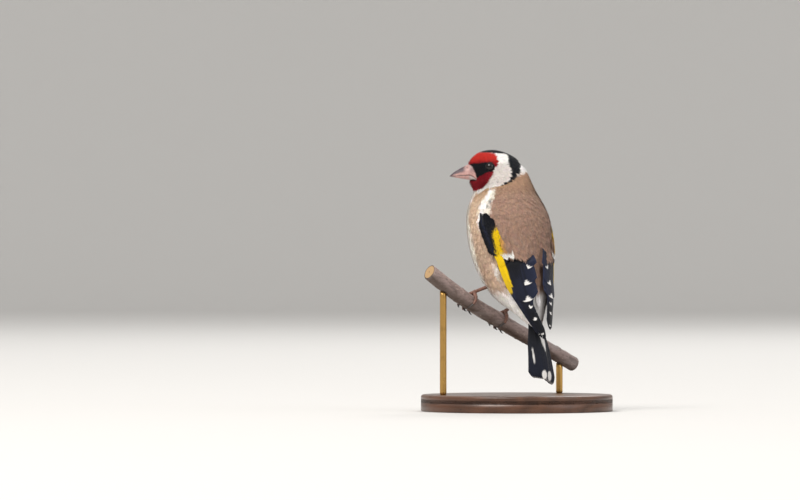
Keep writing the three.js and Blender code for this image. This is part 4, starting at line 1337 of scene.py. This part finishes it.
class GOLDFINCH_OT_bill(bpy.types.Operator):
    """Upper and lower mandible, with nostrils and the line of the mouth"""

    bl_idname = "goldfinch.bill"
    bl_label = "Bill"

    ROOT, TIP = 8.6, 22.1
    HALF = [
        (8.6, 4.15), (10, 4.05), (12, 3.7), (14, 3.2), (16, 2.4), (18, 1.65), (20, 0.92), (21.4, 0.4),
        (22.1, 0.06),
    ]
    MOUTH = [(9.4, -3.2), (10.6, -2.1), (12.3, -1.25), (16.1, -1.45), (22.1, -1.85)]
    CULMEN = [(8.6, 5.2), (13.2, 3.9), (17.0, 2.0), (20.0, 0.1), (22.1, -1.75)]
    RIDGE = [(8.6, 5.2), (11, 4.9), (13.2, 3.9), (17.0, 2.0), (20.0, 0.1), (22.1, -1.75)]
    KEEL = [(8.6, -3.7), (12.0, -3.6), (15.0, -3.15), (18.5, -2.55), (21.75, -1.95)]

    def execute(self, context):
        material = bill_material()
        self.mandible("bill_upper_horn", "bill_upper", 1, material)
        self.mandible("bill_lower_horn", "bill_lower", -1, material)
        return {"FINISHED"}

    def mandible(self, name, node, hand, material):
        rows, arc, flat = 60, 36, 9
        tip = self.TIP if hand > 0 else self.TIP - 0.35
        t = np.linspace(0, 1, rows) ** 0.9
        forward = self.ROOT + (tip - self.ROOT) * t
        mouth = along(self.MOUTH, forward)
        if hand > 0:
            ridge = between(self.RIDGE, forward)[:, 1]
            half = between(self.HALF, forward)[:, 1]
        else:
            ridge = between(self.KEEL, forward)[:, 1]
            half = between(self.HALF, np.minimum(forward + 0.35, 22.1))[:, 1] * 0.95
        turn = np.linspace(0, math.pi, arc)
        side = np.sign(np.cos(turn)) * np.abs(np.cos(turn)) ** 0.9
        rise = np.sin(turn) ** (0.92 if hand > 0 else 0.65)
        rings = np.zeros((rows, arc + flat, 3))
        gap = 0.05 * hand
        left = half[:, None] * side
        up = (mouth + gap)[:, None] + (ridge - mouth - gap)[:, None] * rise
        rings[:, :arc] = on_head(np.broadcast_to(forward[:, None], left.shape), left, up)
        inner = np.linspace(-0.94, 0.94, flat)
        left = half[:, None] * inner
        up = np.broadcast_to((mouth + gap)[:, None], left.shape)
        rings[:, arc:] = on_head(np.broadcast_to(forward[:, None], left.shape), left, up)
        points, triangles = capped(rings)
        forward_at, left_at, up_at = head_axes(points)
        if hand > 0:
            for nostril in (1, -1):
                far = np.sqrt(((forward_at - 13.6) / 0.75) ** 2 + ((up_at - 2.35) / 0.42) ** 2)
                dent = 0.5 * np.exp(-(far**2)) * (left_at * nostril > 0.4)
                points = points - np.multiply.outer(dent * nostril, HEAD_LEFT)
        marking = self.marking(points, hand)
        keep(make_piece(name, points, outward(points, triangles), material, marking), "bill", node)

    def marking(self, points, hand):
        forward, _, up = head_axes(points)
        if hand > 0:
            high = (up + 1.6) / np.maximum(along(self.CULMEN, forward) + 1.6, 0.2)
            dusk = smooth(0.25, 0.6, high) * smooth(13.4, 16.0, forward) * 0.95
            # Painted shade in each nostril's pit
            far = np.sqrt(((forward - 13.6) / 0.6) ** 2 + ((up - 2.35) / 0.32) ** 2)
            nostril = (colour("bill_tip") * 0.6, smooth(1.1, 0.6, far) * 0.45)
            root = smooth(13.2, 11.8, forward) * smooth(-1.0, 1.5, up) * 0.5
            first = [nostril, (colour("bill_tip") * 1.6, root)]
        else:
            dusk = smooth(-2.4, -3.2, up) * smooth(13.5, 16.0, forward) * 0.35
            first = [(linear("#b9b0ad"), smooth(13.4, 11.6, forward) * 0.9)]
        # Painted shade in the slit along the mouth, where the mandibles meet
        painted_mouth_shade = smooth(0.24, 0.05, np.abs(up - along(self.MOUTH, forward))) * 0.35
        tip = smooth(18.6, 21.4, forward) * 0.85
        last = [("bill_tip", dusk), (colour("bill_tip") * 0.8, tip), (linear("#7c4f46"), painted_mouth_shade)]
        return layered("bill", *first, *last)


class GOLDFINCH_OT_eyes(bpy.types.Operator):
    """Wet dark eyes, each in a ring of bare lid"""

    bl_idname = "goldfinch.eyes"
    bl_label = "Eyes and lids"

    def execute(self, context):
        eye_paint = eye_material()
        lid_paint = scaly_material("eyelid", linear("#1d1919"), linear("#0c0a0a"), 0.5)
        for side, word in ((1, "left"), (-1, "right")):
            self.ball(side, word, eye_paint)
            self.lids(side, word, lid_paint)
        return {"FINISHED"}

    def ball(self, side, word, material):
        rows, columns = 40, 56
        polar = np.linspace(0.02, math.pi - 0.02, rows)
        turn = np.linspace(0, 2 * math.pi, columns, endpoint=False)
        bulge = EYE_RADIUS * (1 + 0.03 * np.exp(-((polar / 0.5) ** 2)))
        out = (bulge * np.cos(polar))[:, None] * np.ones(columns)
        forward = (bulge * np.sin(polar))[:, None] * np.cos(turn)
        up = (bulge * np.sin(polar))[:, None] * np.sin(turn)
        rings = on_head(EYE_FORWARD + forward, side * (EYE_SIDE + out), EYE_UP + up)
        reach = np.concatenate([np.repeat(np.sin(polar), columns), [0, 0]])
        iris = smooth(0.36, 0.40, reach) * smooth(0.70, 0.62, reach)
        marking = layered(linear("#050405"), (linear("#1c100b"), iris * 0.6))
        keep(ringed(f"eyeball_{word}", rings, material, marking), "eye", f"eye_{word}")

    def lids(self, side, word, material):
        turn = np.linspace(0, 2 * math.pi, 97)[:-1]
        radius = EYE_SHOWN + 0.08 + 0.05 * np.cos(2 * turn)
        sideways = EYE_SIDE + np.sqrt(EYE_RADIUS**2 - radius**2) + 0.02
        thick = 0.17 + 0.02 * np.sin(turn * 24)
        around = np.linspace(0, 2 * math.pi, 12, endpoint=False)
        reach = radius[:, None] + 0.10 + (thick[:, None] * np.cos(around))
        lift = sideways[:, None] + thick[:, None] * np.sin(around) * 0.9 - 0.06
        forward = EYE_FORWARD + reach * np.cos(turn)[:, None]
        up = EYE_UP + reach * np.sin(turn)[:, None]
        rings = on_head(forward, side * lift, up)
        rows, columns = rings.shape[:2]
        quads = grid_faces(rows + 1, columns) % (rows * columns)
        points = rings.reshape(-1, 3)
        piece = make_piece(f"eyelid_{word}", points, outward(points, triangles_of(quads)), material)
        keep(piece, "head_plumage")


# Perch, feet and stand

def perch_axis(x):
    x = np.asarray(x, float)
    bend = PERCH_BEND * np.maximum(0, x - PERCH_BEND_START) ** 2
    return np.stack([x, np.full_like(x, PERCH_Y), PERCH_HEIGHT + PERCH_SLOPE * x + bend], -1)


def perch_radius(x):
    return np.interp(x, (PERCH_RIGHT, PERCH_LEFT), PERCH_RADII)


PERCH_ALONG = unit(np.array((1.0, 0.0, PERCH_SLOPE)))
PERCH_UP = np.array((-PERCH_ALONG[2], 0.0, PERCH_ALONG[0]))


def round_perch(x, degrees, off, shift=0.0):
    """A place round the perch: degrees from its top to the bird's front, and distance from its bark."""
    x, degrees, off, shift = np.broadcast_arrays(*(np.asarray(a, float) for a in (x, degrees, off, shift)))
    angle = np.radians(degrees)
    radius = perch_radius(x) + off
    point = perch_axis(x) + PERCH_UP * (radius * np.cos(angle))[..., None]
    point = point + np.array((0.0, -1.0, 0.0)) * (radius * np.sin(angle))[..., None]
    return point + PERCH_ALONG * shift[..., None]


class GOLDFINCH_OT_perch(bpy.types.Operator):
    """The cut length of branch, with ridged bark, pores, a bud scar and sawn ends"""

    bl_idname = "goldfinch.perch"
    bl_label = "Perch"

    def execute(self, context):
        rows, columns = 420, 120
        x = np.linspace(PERCH_RIGHT, PERCH_LEFT, rows)
        degrees = np.linspace(0, 360, columns, endpoint=False)
        grid_x, grid_degrees = np.meshgrid(x, degrees, indexing="ij")
        relief, pore, scar = self.relief(grid_x, grid_degrees)
        rim = np.minimum(grid_x - PERCH_RIGHT, PERCH_LEFT - grid_x)
        off = relief - 0.25 * np.exp(-rim / 0.25)
        rings = round_perch(grid_x, grid_degrees, off)
        points = rings.reshape(-1, 3)
        faces = triangles_of(grid_faces(rows, columns))
        marking = self.marking(grid_degrees, relief, pore, scar)
        bark = make_piece("perch_bark", points, faces, bark_material(), marking)
        keep(bark, "bark", "perch")
        self.cut_ends(rings)
        return {"FINISHED"}

    def relief(self, x, degrees):
        """Height of the bark in millimetres, with the masks of its pores and scars."""
        depth = sizes().bark_relief / MM
        rng = np.random.default_rng(5)
        angle = np.radians(degrees)
        flat = np.stack([x * 0.11, np.cos(angle) * 1.5, np.sin(angle) * 1.5], -1).reshape(-1, 3)
        ridges = np.array([noise.fractal(Vector(p), 1.0, 2.2, 4) for p in flat]).reshape(x.shape)
        relief = depth * 0.9 * ridges
        pore, scar = np.zeros_like(x), np.zeros_like(x)
        for _ in range(150):
            at_x, at_degrees = rng.uniform(PERCH_RIGHT, PERCH_LEFT), rng.uniform(0, 360)
            long, wide = rng.uniform(0.25, 0.55), rng.uniform(2.2, 4.0)
            around = (degrees - at_degrees + 180) % 360 - 180
            pore = np.maximum(pore, np.exp(-((x - at_x) / long) ** 2 - (around / wide) ** 2))
        for at_x, at_degrees in ((29.0, 40.0), (-24.0, 200.0), (-33.0, 330.0), (3.5, 170.0)):
            around = (degrees - at_degrees + 180) % 360 - 180
            far = np.hypot((x - at_x) / 1.2, around / 22)
            scar = np.maximum(scar, np.exp(-((far - 0.8) / 0.3) ** 2) - 0.6 * np.exp(-(far / 0.45) ** 2))
        for at_x in (24.0, -12.0, -38.0):
            relief = relief + depth * 0.8 * np.exp(-((x - at_x - 0.4 * np.sin(angle)) / 0.5) ** 2)
        return relief + depth * (0.9 * pore + 1.3 * scar), pore, scar

    def marking(self, degrees, relief, pore, scar):
        angle = np.radians(degrees).ravel()
        # Painted shade: the underside of the perch darkened towards the dark bark colour
        under = smooth(0.1, -0.9, np.cos(angle))
        # Painted shade in the low furrows of the bark's relief
        painted_furrow_shade = smooth(0.0, -0.16, relief.ravel())
        return layered(
            "bark",
            ("bark_dark", under * 0.75),
            # Painted highlight along the top of the perch, turned a little towards the bird's front
            (linear("#c2b6b2"), smooth(0.35, 1.0, np.cos(angle - 0.25)) * 0.6),
            (linear("#b7a698"), np.clip(pore.ravel(), 0, 1) * 0.7),
            (colour("bark_dark") * 0.6, np.clip(np.abs(scar.ravel()), 0, 1) * 0.6),
            (colour("bark_dark") * 0.7, painted_furrow_shade * 0.6),
        )

    def cut_ends(self, rings):
        parts, marks = [], []
        for ring, toward in ((rings[0], -1), (rings[-1], 1)):
            middle = ring.mean(0)
            reach = np.linspace(1, 0.02, 26)
            dish = 0.12 * toward * (1 - reach**2) + 0.05 * toward * np.sin(reach * 60)
            disc = middle + (ring[None] - middle) * reach[:, None, None]
            disc = disc + PERCH_ALONG * dish[:, None, None]
            count = ring.shape[0]
            faces = triangles_of(grid_faces(len(reach), count))
            parts.append((disc.reshape(-1, 3), faces if toward > 0 else faces[:, ::-1]))
            bands = 0.5 + 0.5 * np.sin(reach * 42)
            shade = layered(
                "heartwood", (colour("heartwood") * 0.55, bands * 0.5),
                ("bark_dark", smooth(0.86, 0.93, reach)), ("bark_dark", smooth(0.12, 0.05, reach)),
            )
            marks.append(np.repeat(shade, count, 0))
        points = np.concatenate([p for p, _ in parts])
        faces = np.concatenate([parts[0][1], parts[1][1] + len(parts[0][0])])
        piece = make_piece("perch_cuts", points, faces, cut_wood_material(), np.concatenate(marks))
        keep(piece, "bark")


FEET = [
    ("left", 17.4, (12.2, 4.6, 47.8)),
    ("right", -1.0, (-6.2, 3.6, 41.6)),
]
TOES = [
    ("inner", 128, -3.4, 42, -0.8),
    ("middle", 146, 0.2, 40, 0.0),
    ("outer", 132, 3.4, 42, 0.9),
    ("hind", -104, 0.4, -62, 1.9),
]
TOE_RADIUS, TARSUS_RADIUS, ANKLE_TURN, ANKLE_LIFT = 0.68, 0.74, -8.0, 2.1


def scutes(count, number, depth):
    """Radii along a limb that step up at each of a number of overlapping scales."""
    u = np.linspace(0, number, count) % 1.0
    return 1 + depth * (u**0.6 - 0.5) * smooth(1.0, 0.86, u)


class GOLDFINCH_OT_feet(bpy.types.Operator):
    """Legs, toes and claws that grip the perch"""

    bl_idname = "goldfinch.feet"
    bl_label = "Legs, feet and claws"

    def execute(self, context):
        skin = scaly_material("leg_skin", colour("leg"), colour("leg") * 0.35, 0.42)
        horn = claw_material()
        for word, x, heel in FEET:
            joint = round_perch(x, ANKLE_TURN, ANKLE_LIFT)
            self.shank(word, joint, np.array(heel), skin)
            self.foot(word, x, joint, skin)
            for toe in TOES:
                self.claw(word, x, toe, horn)
        return {"FINISHED"}

    def shank(self, word, joint, heel, material):
        path = curve([joint, joint + (heel - joint) * 0.5 + np.array((0, 0.15, 0.1)), heel], 90)
        plates = scutes(90, 9, 0.16)
        radii = 1.15 * TARSUS_RADIUS * (1 + 0.28 * np.linspace(-0.25, 1, 90) ** 2) * plates
        keep(ringed(f"shank_{word}", tube(path, radii, 26, 0.92), material), "leg", f"leg_{word}")

    def foot(self, word, x, joint, material):
        parts = []
        for _, end, spread, _, _ in TOES:
            share = np.array((0.22, 0.45, 0.7, 1.0))
            route = round_perch(x, share * end, TOE_RADIUS + 0.2, spread * share)
            path = curve([joint, *route], 110)
            u = np.linspace(0, 1, 110)
            knuckle = sum(np.exp(-(((u - k) / 0.05) ** 2)) for k in (0.30, 0.56, 0.80))
            radii = TOE_RADIUS * (1.34 - 0.40 * u) * (1 + 0.13 * knuckle) * scutes(110, 13, 0.15)
            parts.append(capped(tube(path, radii, 22, 0.9)))
        knob = joint + np.outer(np.linspace(-1.0, 1.0, 24), (0.1, 0.3, 0.95))
        round_off = np.sqrt(np.clip(1 - np.linspace(-0.99, 0.99, 24) ** 2, 0.02, 1))
        parts.append(capped(tube(knob, round_off, 24)))
        points, triangles = joined(parts)
        piece = make_piece(f"toes_{word}", points, triangles, material)
        keep(piece, "leg", f"foot_{word}")

    def claw(self, word, x, toe, material):
        name, end, spread, reach, drift = toe
        share = np.array((-0.12, 0.25, 0.6, 1.05))
        rise = 0.55 * np.maximum(share, 0) ** 2 + 0.18 * np.sin(np.pi * np.clip(share, 0, 1))
        route = round_perch(x, end + reach * share, TOE_RADIUS * 0.7 + rise, spread + drift * share)
        u = np.linspace(0, 1, 40)
        radii = 0.58 * (1 - u) ** 0.7 + 0.03
        rings = tube(curve(route, 40), radii, 20, 0.8)
        keep(ringed(f"claw_horn_{name}_{word}", rings, material), "claw", f"claw_{name}_{word}")


def turned(profile, sides):
    """Rings of a body turned on a lathe, through its radii and heights."""
    turn = np.linspace(0, 2 * math.pi, sides, endpoint=False)
    profile = np.array(profile)
    heights = np.broadcast_to(profile[:, 1:], (len(profile), sides))
    return np.stack([profile[:, :1] * np.cos(turn), profile[:, :1] * np.sin(turn), heights], -1)


class GOLDFINCH_OT_stand(bpy.types.Operator):
    """A turned wooden base and two brass rods up to the perch"""

    bl_idname = "goldfinch.stand"
    bl_label = "Stand"

    def execute(self, context):
        low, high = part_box("stand_base")
        radius, height = (high.x - low.x) / 2 / MM, (high.z - low.z) / MM
        base = turned(self.base_profile(radius, height), 192) - BIRD_AT
        keep(ringed("base_turned", base, walnut_material()), "stand_wood", "stand_base")
        metal = brass_material()
        for name in ("stand_rod_high", "stand_rod_low"):
            self.rod(name, metal)
        return {"FINISHED"}

    def base_profile(self, radius, height):
        """Radius and height up the base's side: a small eased foot, a bead under the top, a flat top."""
        turn, fall = np.linspace(0, math.pi / 2, 10), np.linspace(math.pi, 0, 9)
        round_top = [(radius - 1.2 + 1.2 * math.cos(a), height - 1.2 + 1.2 * math.sin(a)) for a in turn]
        cove = [(radius - 0.5 * math.sin(a), height - 2.1 - 0.9 * math.cos(a) - 0.9) for a in fall]
        foot = [(radius - 0.5, 0.0), (radius - 0.15, 0.12), (radius, 0.5)]
        inner = [(radius * share, height) for share in (0.9, 0.6, 0.3, 0.02)]
        return [(0.5, 0.0), (radius * 0.5, 0.0), *foot, (radius, 2.0), *cove, *round_top, *inner]

    def rod(self, name, material):
        low, high = (np.array(corner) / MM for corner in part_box(name))
        middle = (low + high) / 2
        radius = (high[0] - low[0]) / 2
        top = high[2]
        profile = [(0.02, low[2] - GAP), (radius * 0.8, low[2] - GAP), (radius, low[2] + 0.3)]
        profile += [(radius, z) for z in np.linspace(low[2] + 1, top - 2.0, 12)]
        profile += [(radius, top), (radius * 0.5, top), (0.02, top)]
        rings = turned(profile, 64)
        offset = rings[..., 0] * PERCH_SLOPE - radius * PERCH_SLOPE
        rings[..., 2] += offset * smooth(top - 6, top, rings[..., 2])
        rings = rings + np.array((middle[0], middle[1], 0)) - BIRD_AT
        keep(ringed(name.replace("stand_", "brass_"), rings, material), "stand_brass", name)


class GOLDFINCH_OT_stage(bpy.types.Operator):
    """Pale floor and surround, soft lights and the camera"""

    bl_idname = "goldfinch.stage"
    bl_label = "Stage, lights and camera"

    def execute(self, context):
        self.surround()
        self.camera(context.scene)
        self.lights(context.scene)
        return {"FINISHED"}

    def surround(self):
        """A round floor that curves up into a wall all round."""
        bend = np.linspace(0, math.pi / 2, 24)
        corner = [(5.0 + 1.5 * math.sin(a), 1.5 - 1.5 * math.cos(a)) for a in bend]
        profile = [(0.001, 0.0), (0.5, 0.0), (2.0, 0.0), (3.5, 0.0), *corner, (6.5, 3.2)]
        points = turned(profile, 96).reshape(-1, 3) / MM - BIRD_AT
        make_piece("floor", points, grid_faces(len(profile), 96), floor_material())

    def camera(self, scene):
        stage = scene.goldfinch_stage
        back = Vector((math.sin(stage.azimuth), -math.cos(stage.azimuth), 0.0))
        aim = Vector((0.0453, -0.0330, 0.0773))
        lens = bpy.data.cameras.new("camera")
        lens.sensor_width = 36.0
        lens.lens = 36.0 * stage.distance / stage.width
        lens.clip_start, lens.clip_end = 0.05, 60.0
        camera = bpy.data.objects.new("camera", lens)
        camera.location = aim + back * stage.distance
        camera.rotation_mode = "QUATERNION"
        camera.rotation_quaternion = (-back).to_track_quat("-Z", "Y")
        scene.collection.objects.link(camera)
        scene.camera = camera

    def lights(self, scene):
        stage = scene.goldfinch_stage
        azimuth = stage.azimuth
        for name, turn, rise, far, size, power, tint in (
            ("key", -38, 50, 3.4, 2.0, stage.key, (1.0, 0.97, 0.93)),
            ("fill", 62, 24, 3.6, 2.6, stage.fill, (0.93, 0.96, 1.0)),
            ("rim", 165, 44, 3.2, 1.6, stage.fill * 1.3, (1.0, 1.0, 1.0)),
        ):
            lamp = bpy.data.lights.new(name, "AREA")
            lamp.shape, lamp.size, lamp.energy, lamp.color = "DISK", size, power, tint
            light = bpy.data.objects.new(name, lamp)
            a, e = azimuth + math.radians(turn), math.radians(rise)
            from_bird = Vector((math.sin(a) * math.cos(e), -math.cos(a) * math.cos(e), math.sin(e)))
            light.location = Vector((0, 0, 0.08)) + from_bird * far
            light.rotation_mode = "QUATERNION"
            light.rotation_quaternion = (-from_bird).to_track_quat("-Z", "Y")
            scene.collection.objects.link(light)
        world = bpy.data.worlds.new("sky")
        world.use_nodes = True
        background = world.node_tree.nodes["Background"]
        background.inputs["Color"].default_value = (1.0, 1.0, 1.0, 1.0)
        background.inputs["Strength"].default_value = stage.sky
        scene.world = world
        scene.view_settings.view_transform = "Standard"


class GOLDFINCH_PT_panel(bpy.types.Panel):
    """Lists the bird's settings and pieces in the sidebar"""

    bl_idname = "GOLDFINCH_PT_panel"
    bl_label = "Goldfinch"
    bl_space_type = "VIEW_3D"
    bl_region_type = "UI"
    bl_category = "Goldfinch"

    def draw(self, context):
        for group in ("goldfinch_sizes", "goldfinch_colours", "goldfinch_stage"):
            box = self.layout.box()
            settings = getattr(context.scene, group)
            for name in settings.__annotations__:
                box.prop(settings, name)
        for operator in OPERATORS:
            self.layout.operator(operator.bl_idname)


OPERATORS = [
    GOLDFINCH_OT_stage,
    GOLDFINCH_OT_skin,
    GOLDFINCH_OT_plumage,
    GOLDFINCH_OT_wings,
    GOLDFINCH_OT_tail,
    GOLDFINCH_OT_bill,
    GOLDFINCH_OT_eyes,
    GOLDFINCH_OT_perch,
    GOLDFINCH_OT_feet,
    GOLDFINCH_OT_stand,
]
GROUPS = {
    "goldfinch_sizes": GoldfinchSizes,
    "goldfinch_colours": GoldfinchColours,
    "goldfinch_stage": GoldfinchStage,
}


def register():
    for group in (*GROUPS.values(), *OPERATORS, GOLDFINCH_PT_panel):
        bpy.utils.register_class(group)
    for name, group in GROUPS.items():
        setattr(bpy.types.Scene, name, bpy.props.PointerProperty(type=group))


def unregister():
    for name in GROUPS:
        delattr(bpy.types.Scene, name)
    for group in (GOLDFINCH_PT_panel, *reversed(OPERATORS), *reversed(GROUPS.values())):
        bpy.utils.unregister_class(group)


def main():
    register()
    for operator in OPERATORS:
        group, name = operator.bl_idname.split(".")
        getattr(getattr(bpy.ops, group), name)()


if __name__ == "__main__":
    main()
